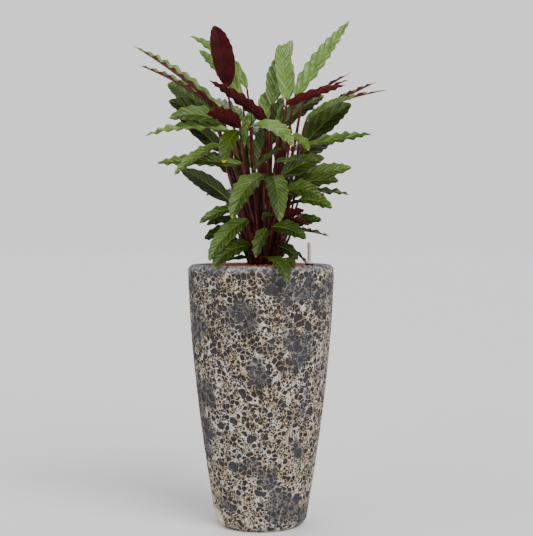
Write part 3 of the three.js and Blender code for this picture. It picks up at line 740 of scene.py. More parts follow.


# The plant. Each blade runs from its base to its tip. Roll turns the blade about that run and fold
# raises its halves, in degrees. Peak is where its arch stands highest, and a larger fall draws its
# tip out longer. Light 1 is the palest green; light is partly each leaf's own tone and partly painted
# light, paler for leaves that catch more light and darker for shaded ones. Yellow is how far the tip
# has turned, past 1 for a leaf that is yellow-green all over, ripple is how strongly its edges wave,
# and pleats is how many pleats each wave has.
def leafRow(base, tip, wide, arch, roll, light=0.5, yellow=0.3, peak=0.5, fold=16, fall=0.66, ripple=1,
            pleats=2):
    return {"base": Vector(base), "tip": Vector(tip), "wide": wide, "arch": arch, "roll": math.radians(roll),
            "light": light, "yellow": yellow, "peak": peak, "fold": math.radians(fold), "fall": fall,
            "ripple": ripple, "pleats": pleats}


leaves = [
    # upper left
    leafRow((-89, -20, 1156), (-115, -170, 1289), 61, 14, 0, 0.3, 0.1, ripple=0.4),
    leafRow((-38, 36, 1160), (-191, 74, 1304), 37, 18, -60, 0.85, 0.2, fall=0.85, ripple=1.2),
    leafRow((-50, -6, 1130), (-165, 25, 1258), 40, 8, -58, 0.7, 0.5),
    leafRow((-103, -13, 1089), (-328, -58, 1255), 56, 8, -24, 0.75, 0.2, fold=30, fall=0.85, pleats=1),
    leafRow((-110, 12, 1093), (-323, 10, 1216), 48, 10, -15, 0.75, 0.2,
            fold=30, fall=0.88, ripple=0.9, pleats=1),
    leafRow((-120, 34, 1080), (-257, 125, 1182), 58, 8, -78, 0.42, 0.5, ripple=0.7),
    leafRow((-118, -4, 1054), (-246, 25, 1124), 54, 8, -75, 0.2, 0.5, ripple=0.7),
    leafRow((-95, -36, 1057), (-235, -90, 1066), 50, 18, -62, 0.5, 0.5),
    leafRow((-82, -50, 1035), (-297, -100, 1021), 42, 17, -32, 0.85, 0.3, fall=0.85, ripple=1.3, pleats=1),
    leafRow((-104, 5, 989), (-219, 40, 1083), 45, 6, -75, 0.1, 0.2, ripple=0.6),
    leafRow((-56, -46, 1045), (-134, -170, 1075), 50, 10, 30, 0.4, 0.9),
    leafRow((-48, -72, 950), (-265, -95, 952), 43, 7, -50),
    leafRow((-105, -50, 1003), (-216, -168, 918), 38, 10, -25, 0.55, 0.3),
    leafRow((-55, -62, 1037), (-93, -165, 949), 54, 20, 0, 0.15, 1.55, ripple=0.7),
    leafRow((-82, -15, 857), (-216, 60, 943), 48, 8, -75, 0.08, 0.2, ripple=0.6),
    leafRow((18, -38, 1061), (-131, -120, 1160), 42, 4, 26, 0.2, 0.1, fall=0.85, ripple=1.2),
    leafRow((-40, 44, 906), (-150, 120, 992), 50, 8, -45, 0.2, 0.2),
    # lower left
    leafRow((7, -75, 924), (-71, -200, 809), 64, 22, -15, 0.45, 0.4, ripple=1.1),
    leafRow((29, -72, 920), (46, -210, 802), 58, 30, 0, 0.36, 0.2, ripple=0.9),
    leafRow((-60, -60, 838), (-157, -120, 798), 32, 8, -50, 0.4, 0.7, ripple=1.1),
    leafRow((-62, -36, 806), (-140, -90, 794), 28, 6, -48, 0.25, 1.0),
    leafRow((-63, -4, 780), (-148, -40, 757), 40, 6, -58, 0.2, 0.2, ripple=1.1),
    leafRow((-34, -52, 808), (-131, -150, 703), 50, 16, -40, 0.55, 0.4, ripple=1.1),
    leafRow((-26, -52, 738), (-121, -162, 686), 54, 18, -40, 0.25, 0.3, ripple=1.1),
    leafRow((-52, -22, 744), (-92, -66, 742), 34, 8, -35, 0.2, 0.2),
    leafRow((17, -70, 785), (-13, -125, 711), 38, 10, -10, 0.35, 0.5, ripple=1.1),
    leafRow((3, -95, 708), (62, -214, 652), 50, 26, 0, 0.3, 0.3, peak=0.75),
    leafRow((39, -57, 739), (94, -109, 705), 35, 8, 45, 0.15, 0.2, ripple=1.1),
    leafRow((63, -10, 732), (118, -40, 691), 30, 8, -10, 0.15, 0.5),
    leafRow((64, -85, 708), (82, -194, 684), 24, 12, 20, 0.2, 0.6, peak=0.7),
    leafRow((-18, -46, 707), (-92, -66, 700), 26, 3, -20, 0.15, 0.2),
    # upper right
    leafRow((68, 4, 1123), (52, 134, 1290), 55, 12, 10, 0.98, 0.2, ripple=0.6),
    leafRow((29, 46, 1115), (86, 190, 1311), 58, 14, 0, 1.6, 0.2, ripple=0.9),
    leafRow((27, 90, 1152), (45, 185, 1250), 38, 8, 0, 1.1, 0.2),
    leafRow((90, 5, 1134), (238, 40, 1340), 52, 3, 45, 1.15, 0.7, fall=0.85, ripple=1.05, pleats=1),
    leafRow((66, -28, 1107), (213, -130, 1147), 36, 3, -25, 0.8, 0.4, fall=0.85, ripple=0.8),
    leafRow((108, -12, 1108), (233, -30, 1190), 36, 4, 0, 0.95, 0.3, fall=0.85, ripple=0.6),
    leafRow((112, 22, 1118), (233, 8, 1178), 36, 4, 0, 0.95, 0.9, fall=0.85, ripple=0.6),
    leafRow((48, 30, 1054), (171, 75, 1144), 50, 6, 50, 0.3, 0.5),
    leafRow((118, -30, 1066), (327, -56, 1143), 43, 15, 10, 0.8, 0.4,
            peak=0.3, fold=24, fall=0.85, ripple=0.8, pleats=1),
    leafRow((126, 34, 1085), (308, 40, 1176), 44, 0, 2, 0.8, 0.8, fold=26, fall=0.85, ripple=0.8, pleats=1),
    leafRow((114, 2, 1006), (240, 20, 1116), 70, 8, 60, 0.26, 0.3, ripple=0.6, pleats=1),
    leafRow((118, -60, 1064), (236, -96, 1120), 42, 6, 36, 0.5, 0.4),
    leafRow((118, -32, 1002), (284, -90, 1027), 44, 1, 42, 0.55, 0.6, fall=0.85, pleats=1),
    leafRow((95, 2, 972), (194, 85, 1030), 52, 6, 72, 0.25, 0.2),
    leafRow((79, -66, 1026), (121, -116, 983), 33, 6, 20, 0.75, 1.45),
    leafRow((-26, -60, 1049), (80, -180, 989), 53, 22, 25, 0.85, 0.3, ripple=0.9),
    leafRow((-28, -28, 1091), (-44, -57, 993), 27, 8, 0, 0.7, 0.2),
    leafRow((-58, 10, 1064), (-72, 64, 1112), 32, 6, 0, 0.6, 0.2),
    leafRow((-28, -15, 1048), (-14, 8, 1098), 30, 4, 0, 0.6, 0.2),
    leafRow((11, 41, 1071), (12, 92, 1155), 39, 8, 0, 0.9, 0.2),
    leafRow((43, -24, 1042), (62, -14, 1115), 26, 6, 0, 0.5, 0.5),
    # lower right
    leafRow((-21, -60, 931), (51, -110, 988), 32, 4, 50, 0.3, 1.0, ripple=1.3),
    leafRow((37, -66, 955), (152, -130, 954), 30, 6, 40, 0.35, 1.0),
    leafRow((88, 46, 945), (171, 44, 971), 40, 6, 30, 0.35, 1.0),
    leafRow((54, -62, 921), (164, -80, 966), 50, 8, 75, 0.36, 0.6),
    leafRow((92, -30, 920), (235, -60, 943), 47, 0, 65, 0.6, 0.8),
    leafRow((72, -50, 894), (200, -95, 906), 46, 8, 62, 0.25, 1.0, ripple=1.1),
    leafRow((92, -20, 877), (228, -50, 873), 34, 6, 28, 0.35, 1.0, ripple=1.1),
    leafRow((65, -76, 880), (150, -156, 862), 50, 14, 66, 0.4, 0.4),
    leafRow((100, -62, 860), (181, -116, 836), 40, 8, 50, 0.5, 0.5),
    leafRow((76, -36, 846), (128, -46, 850), 34, 6, 10, 0.2, 0.4),
    leafRow((50, -70, 808), (108, -146, 833), 32, 2, -30, 0.3, 0.2),
    leafRow((66, -58, 794), (121, -150, 795), 38, 6, -30, 0.4, 0.3),
    leafRow((74, -18, 790), (158, -60, 806), 40, 6, 50, 0.4, 0.4),
    leafRow((82, -40, 780), (176, -80, 764), 30, 4, 5, 0.35, 0.5),
    leafRow((28, -76, 789), (113, -152, 758), 46, 10, 48, 0.2, 0.3),
    leafRow((35, -66, 815), (3, -96, 808), 30, 6, -20, 0.2, 0.8),
    leafRow((5, -20, 900), (19, -25, 1020), 37, 6, 0, 0.3, 0.2),
    leafRow((46, -23, 898), (57, -45, 998), 32, 6, 0, 0.3, 0.2),
    # the far side
    leafRow((-58, 74, 1075), (-150, 215, 1150), 50, 14, 0),
    leafRow((60, 85, 1060), (150, 225, 1120), 50, 14, 0),
    leafRow((-42, 54, 953), (-170, 138, 1052), 48, 8, 0),
    leafRow((-9, 82, 960), (-29, 264, 986), 50, 18, 0),
    leafRow((84, 62, 990), (180, 180, 1012), 48, 14, 0),
    leafRow((-30, 72, 880), (-96, 225, 850), 48, 18, 0),
    leafRow((34, 72, 895), (84, 235, 880), 50, 18, 0),
    leafRow((78, 44, 860), (176, 130, 872), 44, 12, 0),
    leafRow((-62, 34, 822), (-140, 108, 818), 40, 8, 0),
    leafRow((-24, 53, 946), (-38, 125, 1042), 43, 8, 0),
    leafRow((64, 34, 770), (150, 96, 772), 40, 8, 0),
    leafRow((-46, 22, 752), (-116, 78, 724), 38, 12, 0),
    leafRow((34, 54, 742), (62, 166, 704), 38, 14, 0),
    leafRow((30, 74, 1012), (58, 146, 1148), 48, 8, 0),
    leafRow((48, 68, 952), (80, 152, 1068), 46, 8, 0),
    leafRow((-4, 49, 942), (3, 119, 1061), 44, 8, 0),
    leafRow((-64, 60, 880), (-152, 170, 876), 44, 8, 0),
    leafRow((62, 78, 930), (150, 215, 930), 48, 14, 0),
    leafRow((-10, 98, 1035), (-30, 245, 1066), 50, 18, 0),
    leafRow((-50, 52, 775), (-104, 150, 752), 40, 12, 0),
    leafRow((56, 56, 820), (128, 165, 800), 42, 12, 0),
    leafRow((11, 61, 866), (10, 152, 970), 46, 8, 0),
    leafRow((-56, 48, 960), (-70, 107, 1039), 36, 8, 0),
]

blade = {
    "rowStep": 1.9,
    "fewestRows": 24,
    "columns": (0, 0.045, 0.12, 0.24, 0.4, 0.56, 0.72, 0.87, 1.0),  # from the midrib to one edge
    "ribThickness": 0.9,
    "edgeThickness": 0.5,
    "thinning": 0.7,  # power by which it thins out towards the edge
    "rise": 0.5,
    "endHalfWidth": 0.5,
    "drawnHalfWidth": 1.5,  # of a leaf with a long drawn-out tip
    "drawnFall": 0.8,
    "wave": 33,  # length of an edge wave
    "waveHeight": 3.0,
    "waveGrowth": 1.25,  # power by which it grows towards the edge
    "waveDrift": 0.25,  # share by which it comes and goes, over a length drawn from driftLengths
    "driftLengths": (30, 44),
    "calmEnds": 0.55,  # waves fade where the blade is narrower than this share of its width
    "slowHeight": 0.9,  # of the long wave under it
    "slowWave": 56,  # two of the part's rows of corners
    "fullSwingWidth": 40,
    "scallop": 0.07,
    "upperPaintedLight": 0.13,
    "upperStart": 0.12,  # share of the half width at which that is full
    "uneven": 0.07,  # of a wave, by which waves and pleats wander
    "unevenLengths": (15, 24),
    "pleatHeight": 0.65,
    "pleatDrift": 0.3,
    "pleatDriftLengths": (13, 19),
    "pleatStart": 0.03,  # shares of the half width
    "pleatFade": 0.2,
    "veinsPerPleat": 4,
    "veinLean": 1.5,
    "veinCurl": 0.006,
}

stalk = {
    "sides": 8,
    "points": 22,
    "foot": 694,
    "spread": 3,
    "fullLean": 8,  # a stalk spreads fully if its leaf's own foot is this far off
    "drawIn": 0.1,  # its lower part stands steeper by this share of its reach
    "lowShare": 0.3,
    "highShare": 0.7,
    "overlap": 0.035,  # share of the blade at which it joins the midrib
    "radii": ((0, 4.5), (0.2, 4.5), (0.55, 3.3), (0.85, 1.9), (1, 1.15)),  # share of its length, radius
    "ribGap": 0.04,
    "ribReach": 0.9,
    "ribPoints": 10,
    "ribRadius": 1.15,
    "ribTipRadius": 0.35,
    "ribSink": 0.85,  # of its radius, from the blade's middle to its own
}

sheath = {
    "radius": 5.6,
    "foot": 642,
    "top": 704,
    "lip": 770,
    "mid": 680,  # it stands upright up to its top, and leans from there to its lip
    "lipShares": (0.35, 0.7, 1.0),
    "narrowing": (1, 1, 1, 0.96, 0.88, 0.7),  # of its radius, from its foot to its lip
    "apart": 1.2,
}

crown = {
    "x": 8,
    "radius": 47,
    "core": 13,
    "lowestBase": 700,
    "highestBase": 1165,
    "leavesPerShoot": 3,
    "tierFloors": (1040, 880, 0),
    "easeRounds": 60,
}

foliage = {
    "furrowShadeAndVeins": tint(8, 14, 2),
    "deep": tint(20, 28, 3),
    "mid": tint(64, 86, 8),
    "pale": tint(116, 148, 62),
    "fresh": tint(72, 94, 1),
    "paintedShine": tint(186, 202, 178),
    "rib": tint(122, 148, 20),
    "vein": tint(92, 120, 44),
    "yellow": tint(180, 166, 44),
    "edge": tint(112, 58, 44),
    "maroon": tint(60, 9, 16),
    "wine": tint(132, 42, 46),
    "underRib": tint(52, 18, 18),
    "stalk": tint(106, 37, 27),
    "stalkDark": tint(28, 8, 7),
    "stalkGreen": tint(98, 70, 30),
}


def bearingOf(leaf):
    return math.atan2(leaf["base"].y, leaf["base"].x - crown["x"])


# The higher a leaf, the nearer the middle of the crown it rises, on its own side of it.
def ownFoot(leaf):
    share = (leaf["base"].z - crown["lowestBase"]) / (crown["highestBase"] - crown["lowestBase"])
    radius = crown["radius"] + (crown["core"] - crown["radius"]) * min(1, max(0, share))
    bearing = bearingOf(leaf)
    return Vector((crown["x"] + radius * math.cos(bearing), radius * math.sin(bearing)))


# Neighbours round the crown share a shoot; the shoots are then eased apart, as in the part.
def groupShoots():
    shoots, ceiling = [], math.inf
    for floor in crown["tierFloors"]:
        members = sorted((leaf for leaf in leaves if floor < leaf["base"].z <= ceiling), key=bearingOf)
        ceiling = floor
        count = math.ceil(len(members) / crown["leavesPerShoot"])
        cuts = [math.floor(len(members) * i / count + 0.5) for i in range(count + 1)]
        for start, end in zip(cuts, cuts[1:]):
            group = members[start:end]
            foot = sum((ownFoot(leaf) for leaf in group), Vector((0, 0))) / len(group)
            shoots.append({"foot": foot, "leaves": group})
    pitch = 2 * sheath["radius"] + sheath["apart"]
    for _ in range(crown["easeRounds"]):
        for i, one in enumerate(shoots):
            for other in shoots[i + 1:]:
                apart = other["foot"] - one["foot"]
                short = pitch - apart.length
                if short > 0:
                    apart = apart.normalized() * (short / 2)
                    one["foot"] = one["foot"] - apart
                    other["foot"] = other["foot"] + apart
    return shoots


# The midrib is a plane curve from base to tip; its frame gives the blade's side and face.
def midribFrame(leaf, shares):
    base, tip = leaf["base"], leaf["tip"]
    run = (tip - base).normalized()
    rise = (Vector((0, 0, 1)) - run * run.z).normalized()
    across = np.array(run.cross(rise))
    hump = np.array(base.lerp(tip, leaf["peak"]) + rise * 2 * leaf["arch"])
    base, tip = np.array(base), np.array(tip)
    t = np.asarray(shares, float)[:, None]
    centre = (1 - t) ** 2 * base + 2 * t * (1 - t) * hump + t * t * tip
    tangent = 2 * (1 - t) * (hump - base) + 2 * t * (tip - hump)
    tangent /= np.linalg.norm(tangent, axis=1)[:, None]
    face = np.cross(across, tangent)
    normal = face * math.cos(leaf["roll"]) + across * math.sin(leaf["roll"])
    sideways = across * math.cos(leaf["roll"]) - face * math.sin(leaf["roll"])
    return centre, normal, sideways


def bladeShare(along, fall):
    widest = blade["rise"] / (blade["rise"] + fall)
    peak = widest ** blade["rise"] * (1 - widest) ** fall
    return along ** blade["rise"] * (1 - along) ** fall / peak


# A slow sine of a drawn length and start
def sway(along, chance, lengths, shift=0):
    return np.sin(along / chance.uniform(*lengths) + chance.uniform(0, 6.3) + shift)


# One blade: an upper and a lower sheet with slanting pleats and waved edges, closed round the edge
def bladeSheets(leaf, chance):
    length = (leaf["tip"] - leaf["base"]).length
    rows = max(blade["fewestRows"], round(length / blade["rowStep"]))
    u = np.linspace(0, 1, rows + 1)
    columns = blade["columns"]
    v = np.array([-c for c in columns[:0:-1]] + list(columns))
    centre, normal, sideways = midribFrame(leaf, u)
    least = blade["drawnHalfWidth" if leaf["fall"] > blade["drawnFall"] else "endHalfWidth"]
    half = np.maximum(least, leaf["wide"] / 2 * bladeShare(u, leaf["fall"]))[:, None]
    reach = np.abs(v)[None, :]
    out = half * reach
    hand = np.sign(v)[None, :]
    s = (u * length)[:, None]

    # Veins leave the midrib at a slant and curve towards the tip; waves and pleats follow them.
    vein = s - blade["veinLean"] * out - blade["veinCurl"] * out ** 2
    phases = {side: chance.uniform(0, 1) for side in (-1, 1)}
    phase = np.where(hand < 0, phases[-1], phases[1])
    drift = 1 + blade["waveDrift"] * sway(vein, chance, blade["driftLengths"])
    room = min(1, leaf["wide"] / blade["fullSwingWidth"])
    ends = np.minimum(1, half / (blade["calmEnds"] * half.max()))
    turns = vein / blade["wave"] + phase + blade["uneven"] * sway(vein, chance, blade["unevenLengths"], hand)
    swell = blade["waveHeight"] * leaf["ripple"] * room * drift * ends * reach ** blade["waveGrowth"]
    wave = swell * np.sin(2 * np.pi * turns)
    slow = blade["slowHeight"] * room * ends * reach * np.cos(2 * np.pi * s / blade["slowWave"])
    pleats = turns * leaf["pleats"]
    pleatRoom = np.clip((reach - blade["pleatStart"]) / blade["pleatFade"], 0, 1) * ends
    share = 1 - blade["pleatDrift"] + blade["pleatDrift"] * sway(vein, chance, blade["pleatDriftLengths"])
    pleat = blade["pleatHeight"] * share * pleatRoom * np.sin(2 * np.pi * pleats)
    lift = out * math.sin(leaf["fold"]) + wave + slow + pleat
    scallop = 1 + blade["scallop"] * leaf["ripple"] * np.cos(2 * np.pi * turns) * reach
    spread = out * math.cos(leaf["fold"]) * scallop
    sheet = (centre[:, None, :] + sideways[:, None, :] * (spread * hand)[:, :, None]
             + normal[:, None, :] * lift[:, :, None])
    change = blade["edgeThickness"] - blade["ribThickness"]
    thick = blade["ribThickness"] + change * reach ** blade["thinning"]
    skin = normal[:, None, :] * (thick / 2 * np.ones_like(out))[:, :, None]
    places = np.concatenate([(sheet + skin).reshape(-1, 3), (sheet - skin).reshape(-1, 3)])
    follow = np.stack([pleats, out * hand, u[:, None] * np.ones_like(out)], axis=2).reshape(-1, 3)
    # Painted light: the half that lies higher is painted paler, as if it caught more light.
    upper = np.sign(sideways[:, 2])[:, None] * hand * np.minimum(1, reach / blade["upperStart"])
    tone = np.stack([reach * np.ones_like(out), leaf["light"] + blade["upperPaintedLight"] * upper,
                     np.full_like(out, leaf["yellow"])], axis=2).reshape(-1, 3)

    wide = len(v)
    under = (rows + 1) * wide
    grid = np.arange(under).reshape(rows + 1, wide)
    a, b = grid[:-1, :-1], grid[:-1, 1:]
    c, d = grid[1:, 1:], grid[1:, :-1]
    upper = np.stack([a, b, c, d], axis=2).reshape(-1, 4)
    lower = np.stack([a, d, c, b], axis=2).reshape(-1, 4) + under
    left, right = grid[:, 0], grid[:, -1]
    first, last = grid[0], grid[-1]
    rims = [
        np.stack([left[:-1] + under, left[:-1], left[1:], left[1:] + under], axis=1),
        np.stack([right[:-1], right[:-1] + under, right[1:] + under, right[1:]], axis=1),
        np.stack([first[1:], first[:-1], first[:-1] + under, first[1:] + under], axis=1),
        np.stack([last[:-1], last[1:], last[1:] + under, last[:-1] + under], axis=1),
    ]
    return {
        "places": places,
        "faces": np.concatenate([upper, lower] + rims),
        "isUnder": [False] * len(upper) + [True] * len(lower) + [False] * sum(map(len, rims)),
        "isSmooth": [True] * (len(upper) + len(lower)) + [False] * sum(map(len, rims)),
        "follow": np.concatenate([follow, follow]),
        "tone": np.concatenate([tone, tone]),
    }


# A smooth curve through points, even in spacing where the points are not
def throughPoints(points, shares):
    points = [Vector(p) for p in points]
    ends = [points[0] * 2 - points[1]] + points + [points[-1] * 2 - points[-2]]
    made = []
    for share in shares:
        at = min(share * (len(points) - 1), len(points) - 1 - 1e-9)
        i, w = int(at), at - int(at)
        p0, p1, p2, p3 = ends[i:i + 4]
        d0, d1, d2 = ((b - a).length ** 0.5 for a, b in ((p0, p1), (p1, p2), (p2, p3)))
        t1 = ((p1 - p0) / d0 - (p2 - p0) / (d0 + d1) + (p2 - p1) / d1) * d1
        t2 = ((p2 - p1) / d1 - (p3 - p1) / (d1 + d2) + (p3 - p2) / d2) * d1
        square = p2 * 3 - p1 * 3 - t1 * 2 - t2
        cube = p1 * 2 - p2 * 2 + t1 + t2
        made.append(p1 + t1 * w + square * w ** 2 + cube * w ** 3)
    return made


# A stalk from the shoot's sheath to the blade, and on under the blade as its midrib
def stalkLine(leaf, foot):
    lean = (ownFoot(leaf) - foot) / stalk["fullLean"]
    if lean.length > 1:
        lean.normalize()
    start = Vector((foot.x + lean.x * stalk["spread"], foot.y + lean.y * stalk["spread"], stalk["foot"]))
    reach = leaf["base"] - start
    low = start + reach * stalk["lowShare"]
    low.x -= reach.x * stalk["drawIn"]
    low.y -= reach.y * stalk["drawIn"]
    joined = Vector(midribFrame(leaf, [stalk["overlap"]])[0][0])
    shares = [i / stalk["points"] for i in range(stalk["points"] + 1)]
    line = throughPoints([start, low, start + reach * stalk["highShare"], leaf["base"], joined], shares)
    radii = [np.interp(t, *zip(*stalk["radii"])) for t in shares]
    ribShares = np.linspace(stalk["overlap"] + stalk["ribGap"], stalk["ribReach"], stalk["ribPoints"])
    centre, normal, _ = midribFrame(leaf, ribShares)
    ribRadii = np.linspace(stalk["ribRadius"], stalk["ribTipRadius"], len(ribShares))
    for place, away, radius in zip(centre, normal, ribRadii):
        line.append(Vector(place - away * (radius * stalk["ribSink"])))
        radii.append(radius)
    heights = [t * 0.9 for t in shares] + [1.0] * len(ribShares)
    return line, radii, heights


def sheathLine(foot, group):
    middle = sum((leaf["base"] for leaf in group), Vector()) / len(group)
    lean = (middle - Vector((foot.x, foot.y, stalk["foot"])))
    lean = lean / lean.z * (sheath["lip"] - sheath["top"])
    bottom = Vector((foot.x, foot.y, sheath["foot"]))
    line = [bottom, Vector((foot.x, foot.y, sheath["mid"])), Vector((foot.x, foot.y, sheath["top"]))]
    line += [line[-1] + lean * share for share in sheath["lipShares"]]
    return line, [sheath["radius"] * share for share in sheath["narrowing"]], [0.0] * len(line)


def shootTree():
    tree, given, result = startGeometry("dressShoot", {
        "Stalk sides": "Int", "Leaf top": "Material", "Leaf underside": "Material", "Stalk skin": "Material"})
    isStalk = maths(tree, "GREATER_THAN", namedField(tree, "stalkRadius"), 0.0)
    split = addNode(tree, "GeometryNodeSeparateGeometry", {
        0: given["Geometry"], "Selection": isStalk}).outputs
    lines = addNode(tree, "GeometryNodeMeshToCurve", {0: split[0]}).outputs[0]
    radius = namedField(tree, "stalkRadius")
    lines = addNode(tree, "GeometryNodeSetCurveRadius", {"Curve": lines, "Radius": radius}).outputs[0]
    ring = addNode(tree, "GeometryNodeCurvePrimitiveCircle", {
        "Resolution": given["Stalk sides"], "Radius": 1.0})
    sweep = addNode(tree, "GeometryNodeCurveToMesh", {
        "Curve": lines, "Profile Curve": ring.outputs[0], "Fill Caps": True, "Scale": radius})
    rounding = smoothed(tree, sweep.outputs[0])
    joined = addNode(tree, "GeometryNodeJoinGeometry")
    tree.links.new(rounding, joined.inputs[0])
    tree.links.new(split[1], joined.inputs[0])
    whole = realized(tree, joined.outputs[0])
    isUnder = namedField(tree, "isUnder", "BOOLEAN")
    whole = withMaterial(tree, whole, given["Leaf top"])
    whole = withMaterial(tree, whole, given["Leaf underside"], isUnder)
    whole = withMaterial(tree, whole, given["Stalk skin"], isStalk)
    tree.links.new(whole, result)
    return tree


# What the two faces of a blade share: the pleats, the veins and the midrib
def bladePattern(tree):
    pleats, out, along = parts(tree, attribute(tree, "follow"))
    reach, light, yellow = parts(tree, attribute(tree, "tone"))
    away = maths(tree, "ABSOLUTE", out)
    ribWidth = plus(tree, 0.3, times(tree, minus(tree, 1.0, along), 0.7))
    rib = ramp(tree, maths(tree, "DIVIDE", away, ribWidth), 1.4, 0.6)

    def stripes(perPleat):
        turn = times(tree, pleats, 2 * math.pi * perPleat)
        return maths(tree, "MULTIPLY_ADD", maths(tree, "SINE", turn), 0.5, 0.5)

    crest = stripes(1.0)
    depth = ramp(tree, noise(tree, objectPlace(tree), 22, 2.0)[0], 0.35, 0.65, 0.1, 0.4)
    return {"crest": crest, "ridge": stripes(0.5), "fine": stripes(blade["veinsPerPleat"]),
            "vein": ramp(tree, crest, 0.9, 1.0), "rib": rib, "reach": reach, "light": light,
            "yellow": yellow, "along": along, "depth": depth}


# Fine veins and a slight grain, on both faces
def leafRelief(tree, shader, place, fine):
    grain = noise(tree, place, 2.2, 2.0)[0]
    addBump(tree, shader, plus(tree, times(tree, fine, 0.6), times(tree, grain, 0.4)), 0.22, 0.7)


def leafTopMaterial():
    material, tree, shader = startMaterial("leafTop", 0.4, 0.26)
    place = objectPlace(tree)
    line = bladePattern(tree)
    mottle = noise(tree, place, 34, 3.0)[0]
    # The light value is partly the leaf's own tone and partly painted light
    tone = plus(tree, line["light"], times(tree, minus(tree, mottle, 0.5), 0.5))
    dark = blend(tree, ramp(tree, tone, 0.0, 0.55, kind="LINEAR"), foliage["deep"], foliage["mid"])
    base = blend(tree, ramp(tree, tone, 0.45, 1.0, kind="LINEAR"), dark, foliage["pale"])
    base = blend(tree, ramp(tree, line["yellow"], 1.0, 2.0, kind="LINEAR"), base, foliage["fresh"])
    # Painted shade: the green darkens in the furrows between the pleat crests and in the hollows between the
    # wider ridges
    furrowShadeAndVeins = times(tree, ramp(tree, line["crest"], 0.7, 0.0), line["depth"])
    furrowShadeAndVeins = times(tree, furrowShadeAndVeins, ramp(tree, line["reach"], 1.0, 0.45, 0.3, 1.0))
    furrowShadeAndVeins = times(tree, furrowShadeAndVeins, ramp(tree, tone, 0.5, 1.0, 1.0, 0.5))
    hollowShade = times(tree, minus(tree, 1.0, line["ridge"]), 0.28)
    base = blend(tree, plus(tree, furrowShadeAndVeins, hollowShade, clamp=True), base, foliage["furrowShadeAndVeins"])
    # Painted highlight: a pale sheen painted on the pleat crests, in patches, stronger on paler leaves
    patches = ramp(tree, noise(tree, place, 15, 3.0)[0], 0.38, 0.7)
    paintedShine = times(tree, ramp(tree, line["crest"], 0.5, 1.0), patches)
    paintedShine = times(tree, paintedShine, ramp(tree, tone, 0.25, 1.75, 0.02, 1.0, "LINEAR"))
    base = blend(tree, paintedShine, base, foliage["paintedShine"])
    base = blend(tree, times(tree, line["fine"], 0.10), base, foliage["vein"])
    base = blend(tree, times(tree, line["vein"], 0.25), base, foliage["vein"])
    ribMix = times(tree, line["rib"], ramp(tree, line["along"], 0.95, 0.2, 0.2, 0.9))
    base = blend(tree, ribMix, base, foliage["rib"])
    rimNoise = times(tree, noise(tree, place, 12, 2.0)[0], 0.05)
    edge = ramp(tree, minus(tree, line["reach"], rimNoise), 0.93, 0.98)
    base = blend(tree, times(tree, edge, 0.45), base, foliage["edge"])
    tipNoise = times(tree, minus(tree, mottle, 0.5), 0.14)
    tipTurn = ramp(tree, plus(tree, line["along"], tipNoise), 0.95, 1.02)
    base = blend(tree, times(tree, tipTurn, line["yellow"], clamp=True), base, foliage["yellow"])
    tree.links.new(base, shader.inputs["Base Color"])
    gloss = ramp(tree, noise(tree, place, 9, 3.0)[0], 0.3, 0.7, 0.3, 0.46, "LINEAR")
    tree.links.new(gloss, shader.inputs["Roughness"])
    leafRelief(tree, shader, place, line["fine"])
    return material


def leafUnderMaterial():
    material, tree, shader = startMaterial("leafUnderside", 0.5, 0.16)
    place = objectPlace(tree)
    line = bladePattern(tree)
    mottle = noise(tree, place, 30, 3.0)[0]
    uneven = times(tree, minus(tree, mottle, 0.5), 0.6)
    # The light value is partly the leaf's own tone and partly painted light
    tone = plus(tree, times(tree, line["light"], 0.6), uneven, clamp=True)
    base = blend(tree, tone, foliage["maroon"], foliage["wine"])
    # Darker vein stripes along the pleat crests
    furrowShadeAndVeins = times(tree, line["crest"], 0.45)
    base = blend(tree, furrowShadeAndVeins, base, foliage["underRib"])
    base = blend(tree, times(tree, line["rib"], 0.7), base, foliage["underRib"])
    tipTurn = times(tree, ramp(tree, line["along"], 0.95, 1.02), line["yellow"], clamp=True)
    base = blend(tree, tipTurn, base, foliage["yellow"])
    tree.links.new(base, shader.inputs["Base Color"])
    leafRelief(tree, shader, place, line["fine"])
    return material


def stalkMaterial():
    material, tree, shader = startMaterial("stalkSkin", 0.42, 0.24)
    place = objectPlace(tree)
    x, y, z = parts(tree, place)
    stretched = addNode(tree, "ShaderNodeCombineXYZ", {0: x, 1: y, 2: times(tree, z, 0.08)}).outputs[0]
    streak = noise(tree, stretched, 5.0, 3.0, 0.5)[0]
    base = blend(tree, ramp(tree, streak, 0.35, 0.65), foliage["stalkDark"], foliage["stalk"])
    height = attribute(tree, "stalkHeight", "Fac")
    greening = times(tree, ramp(tree, noise(tree, place, 60, 2.0)[0], 0.5, 0.65), 0.45)
    base = blend(tree, times(tree, greening, ramp(tree, height, 0.1, 0.6)), base, foliage["stalkGreen"])
    base = blend(tree, ramp(tree, height, 0.92, 0.99, 0.0, 0.8), base, foliage["underRib"])
    tree.links.new(base, shader.inputs["Base Color"])
    addBump(tree, shader, streak, 0.15, 0.5)
    return material


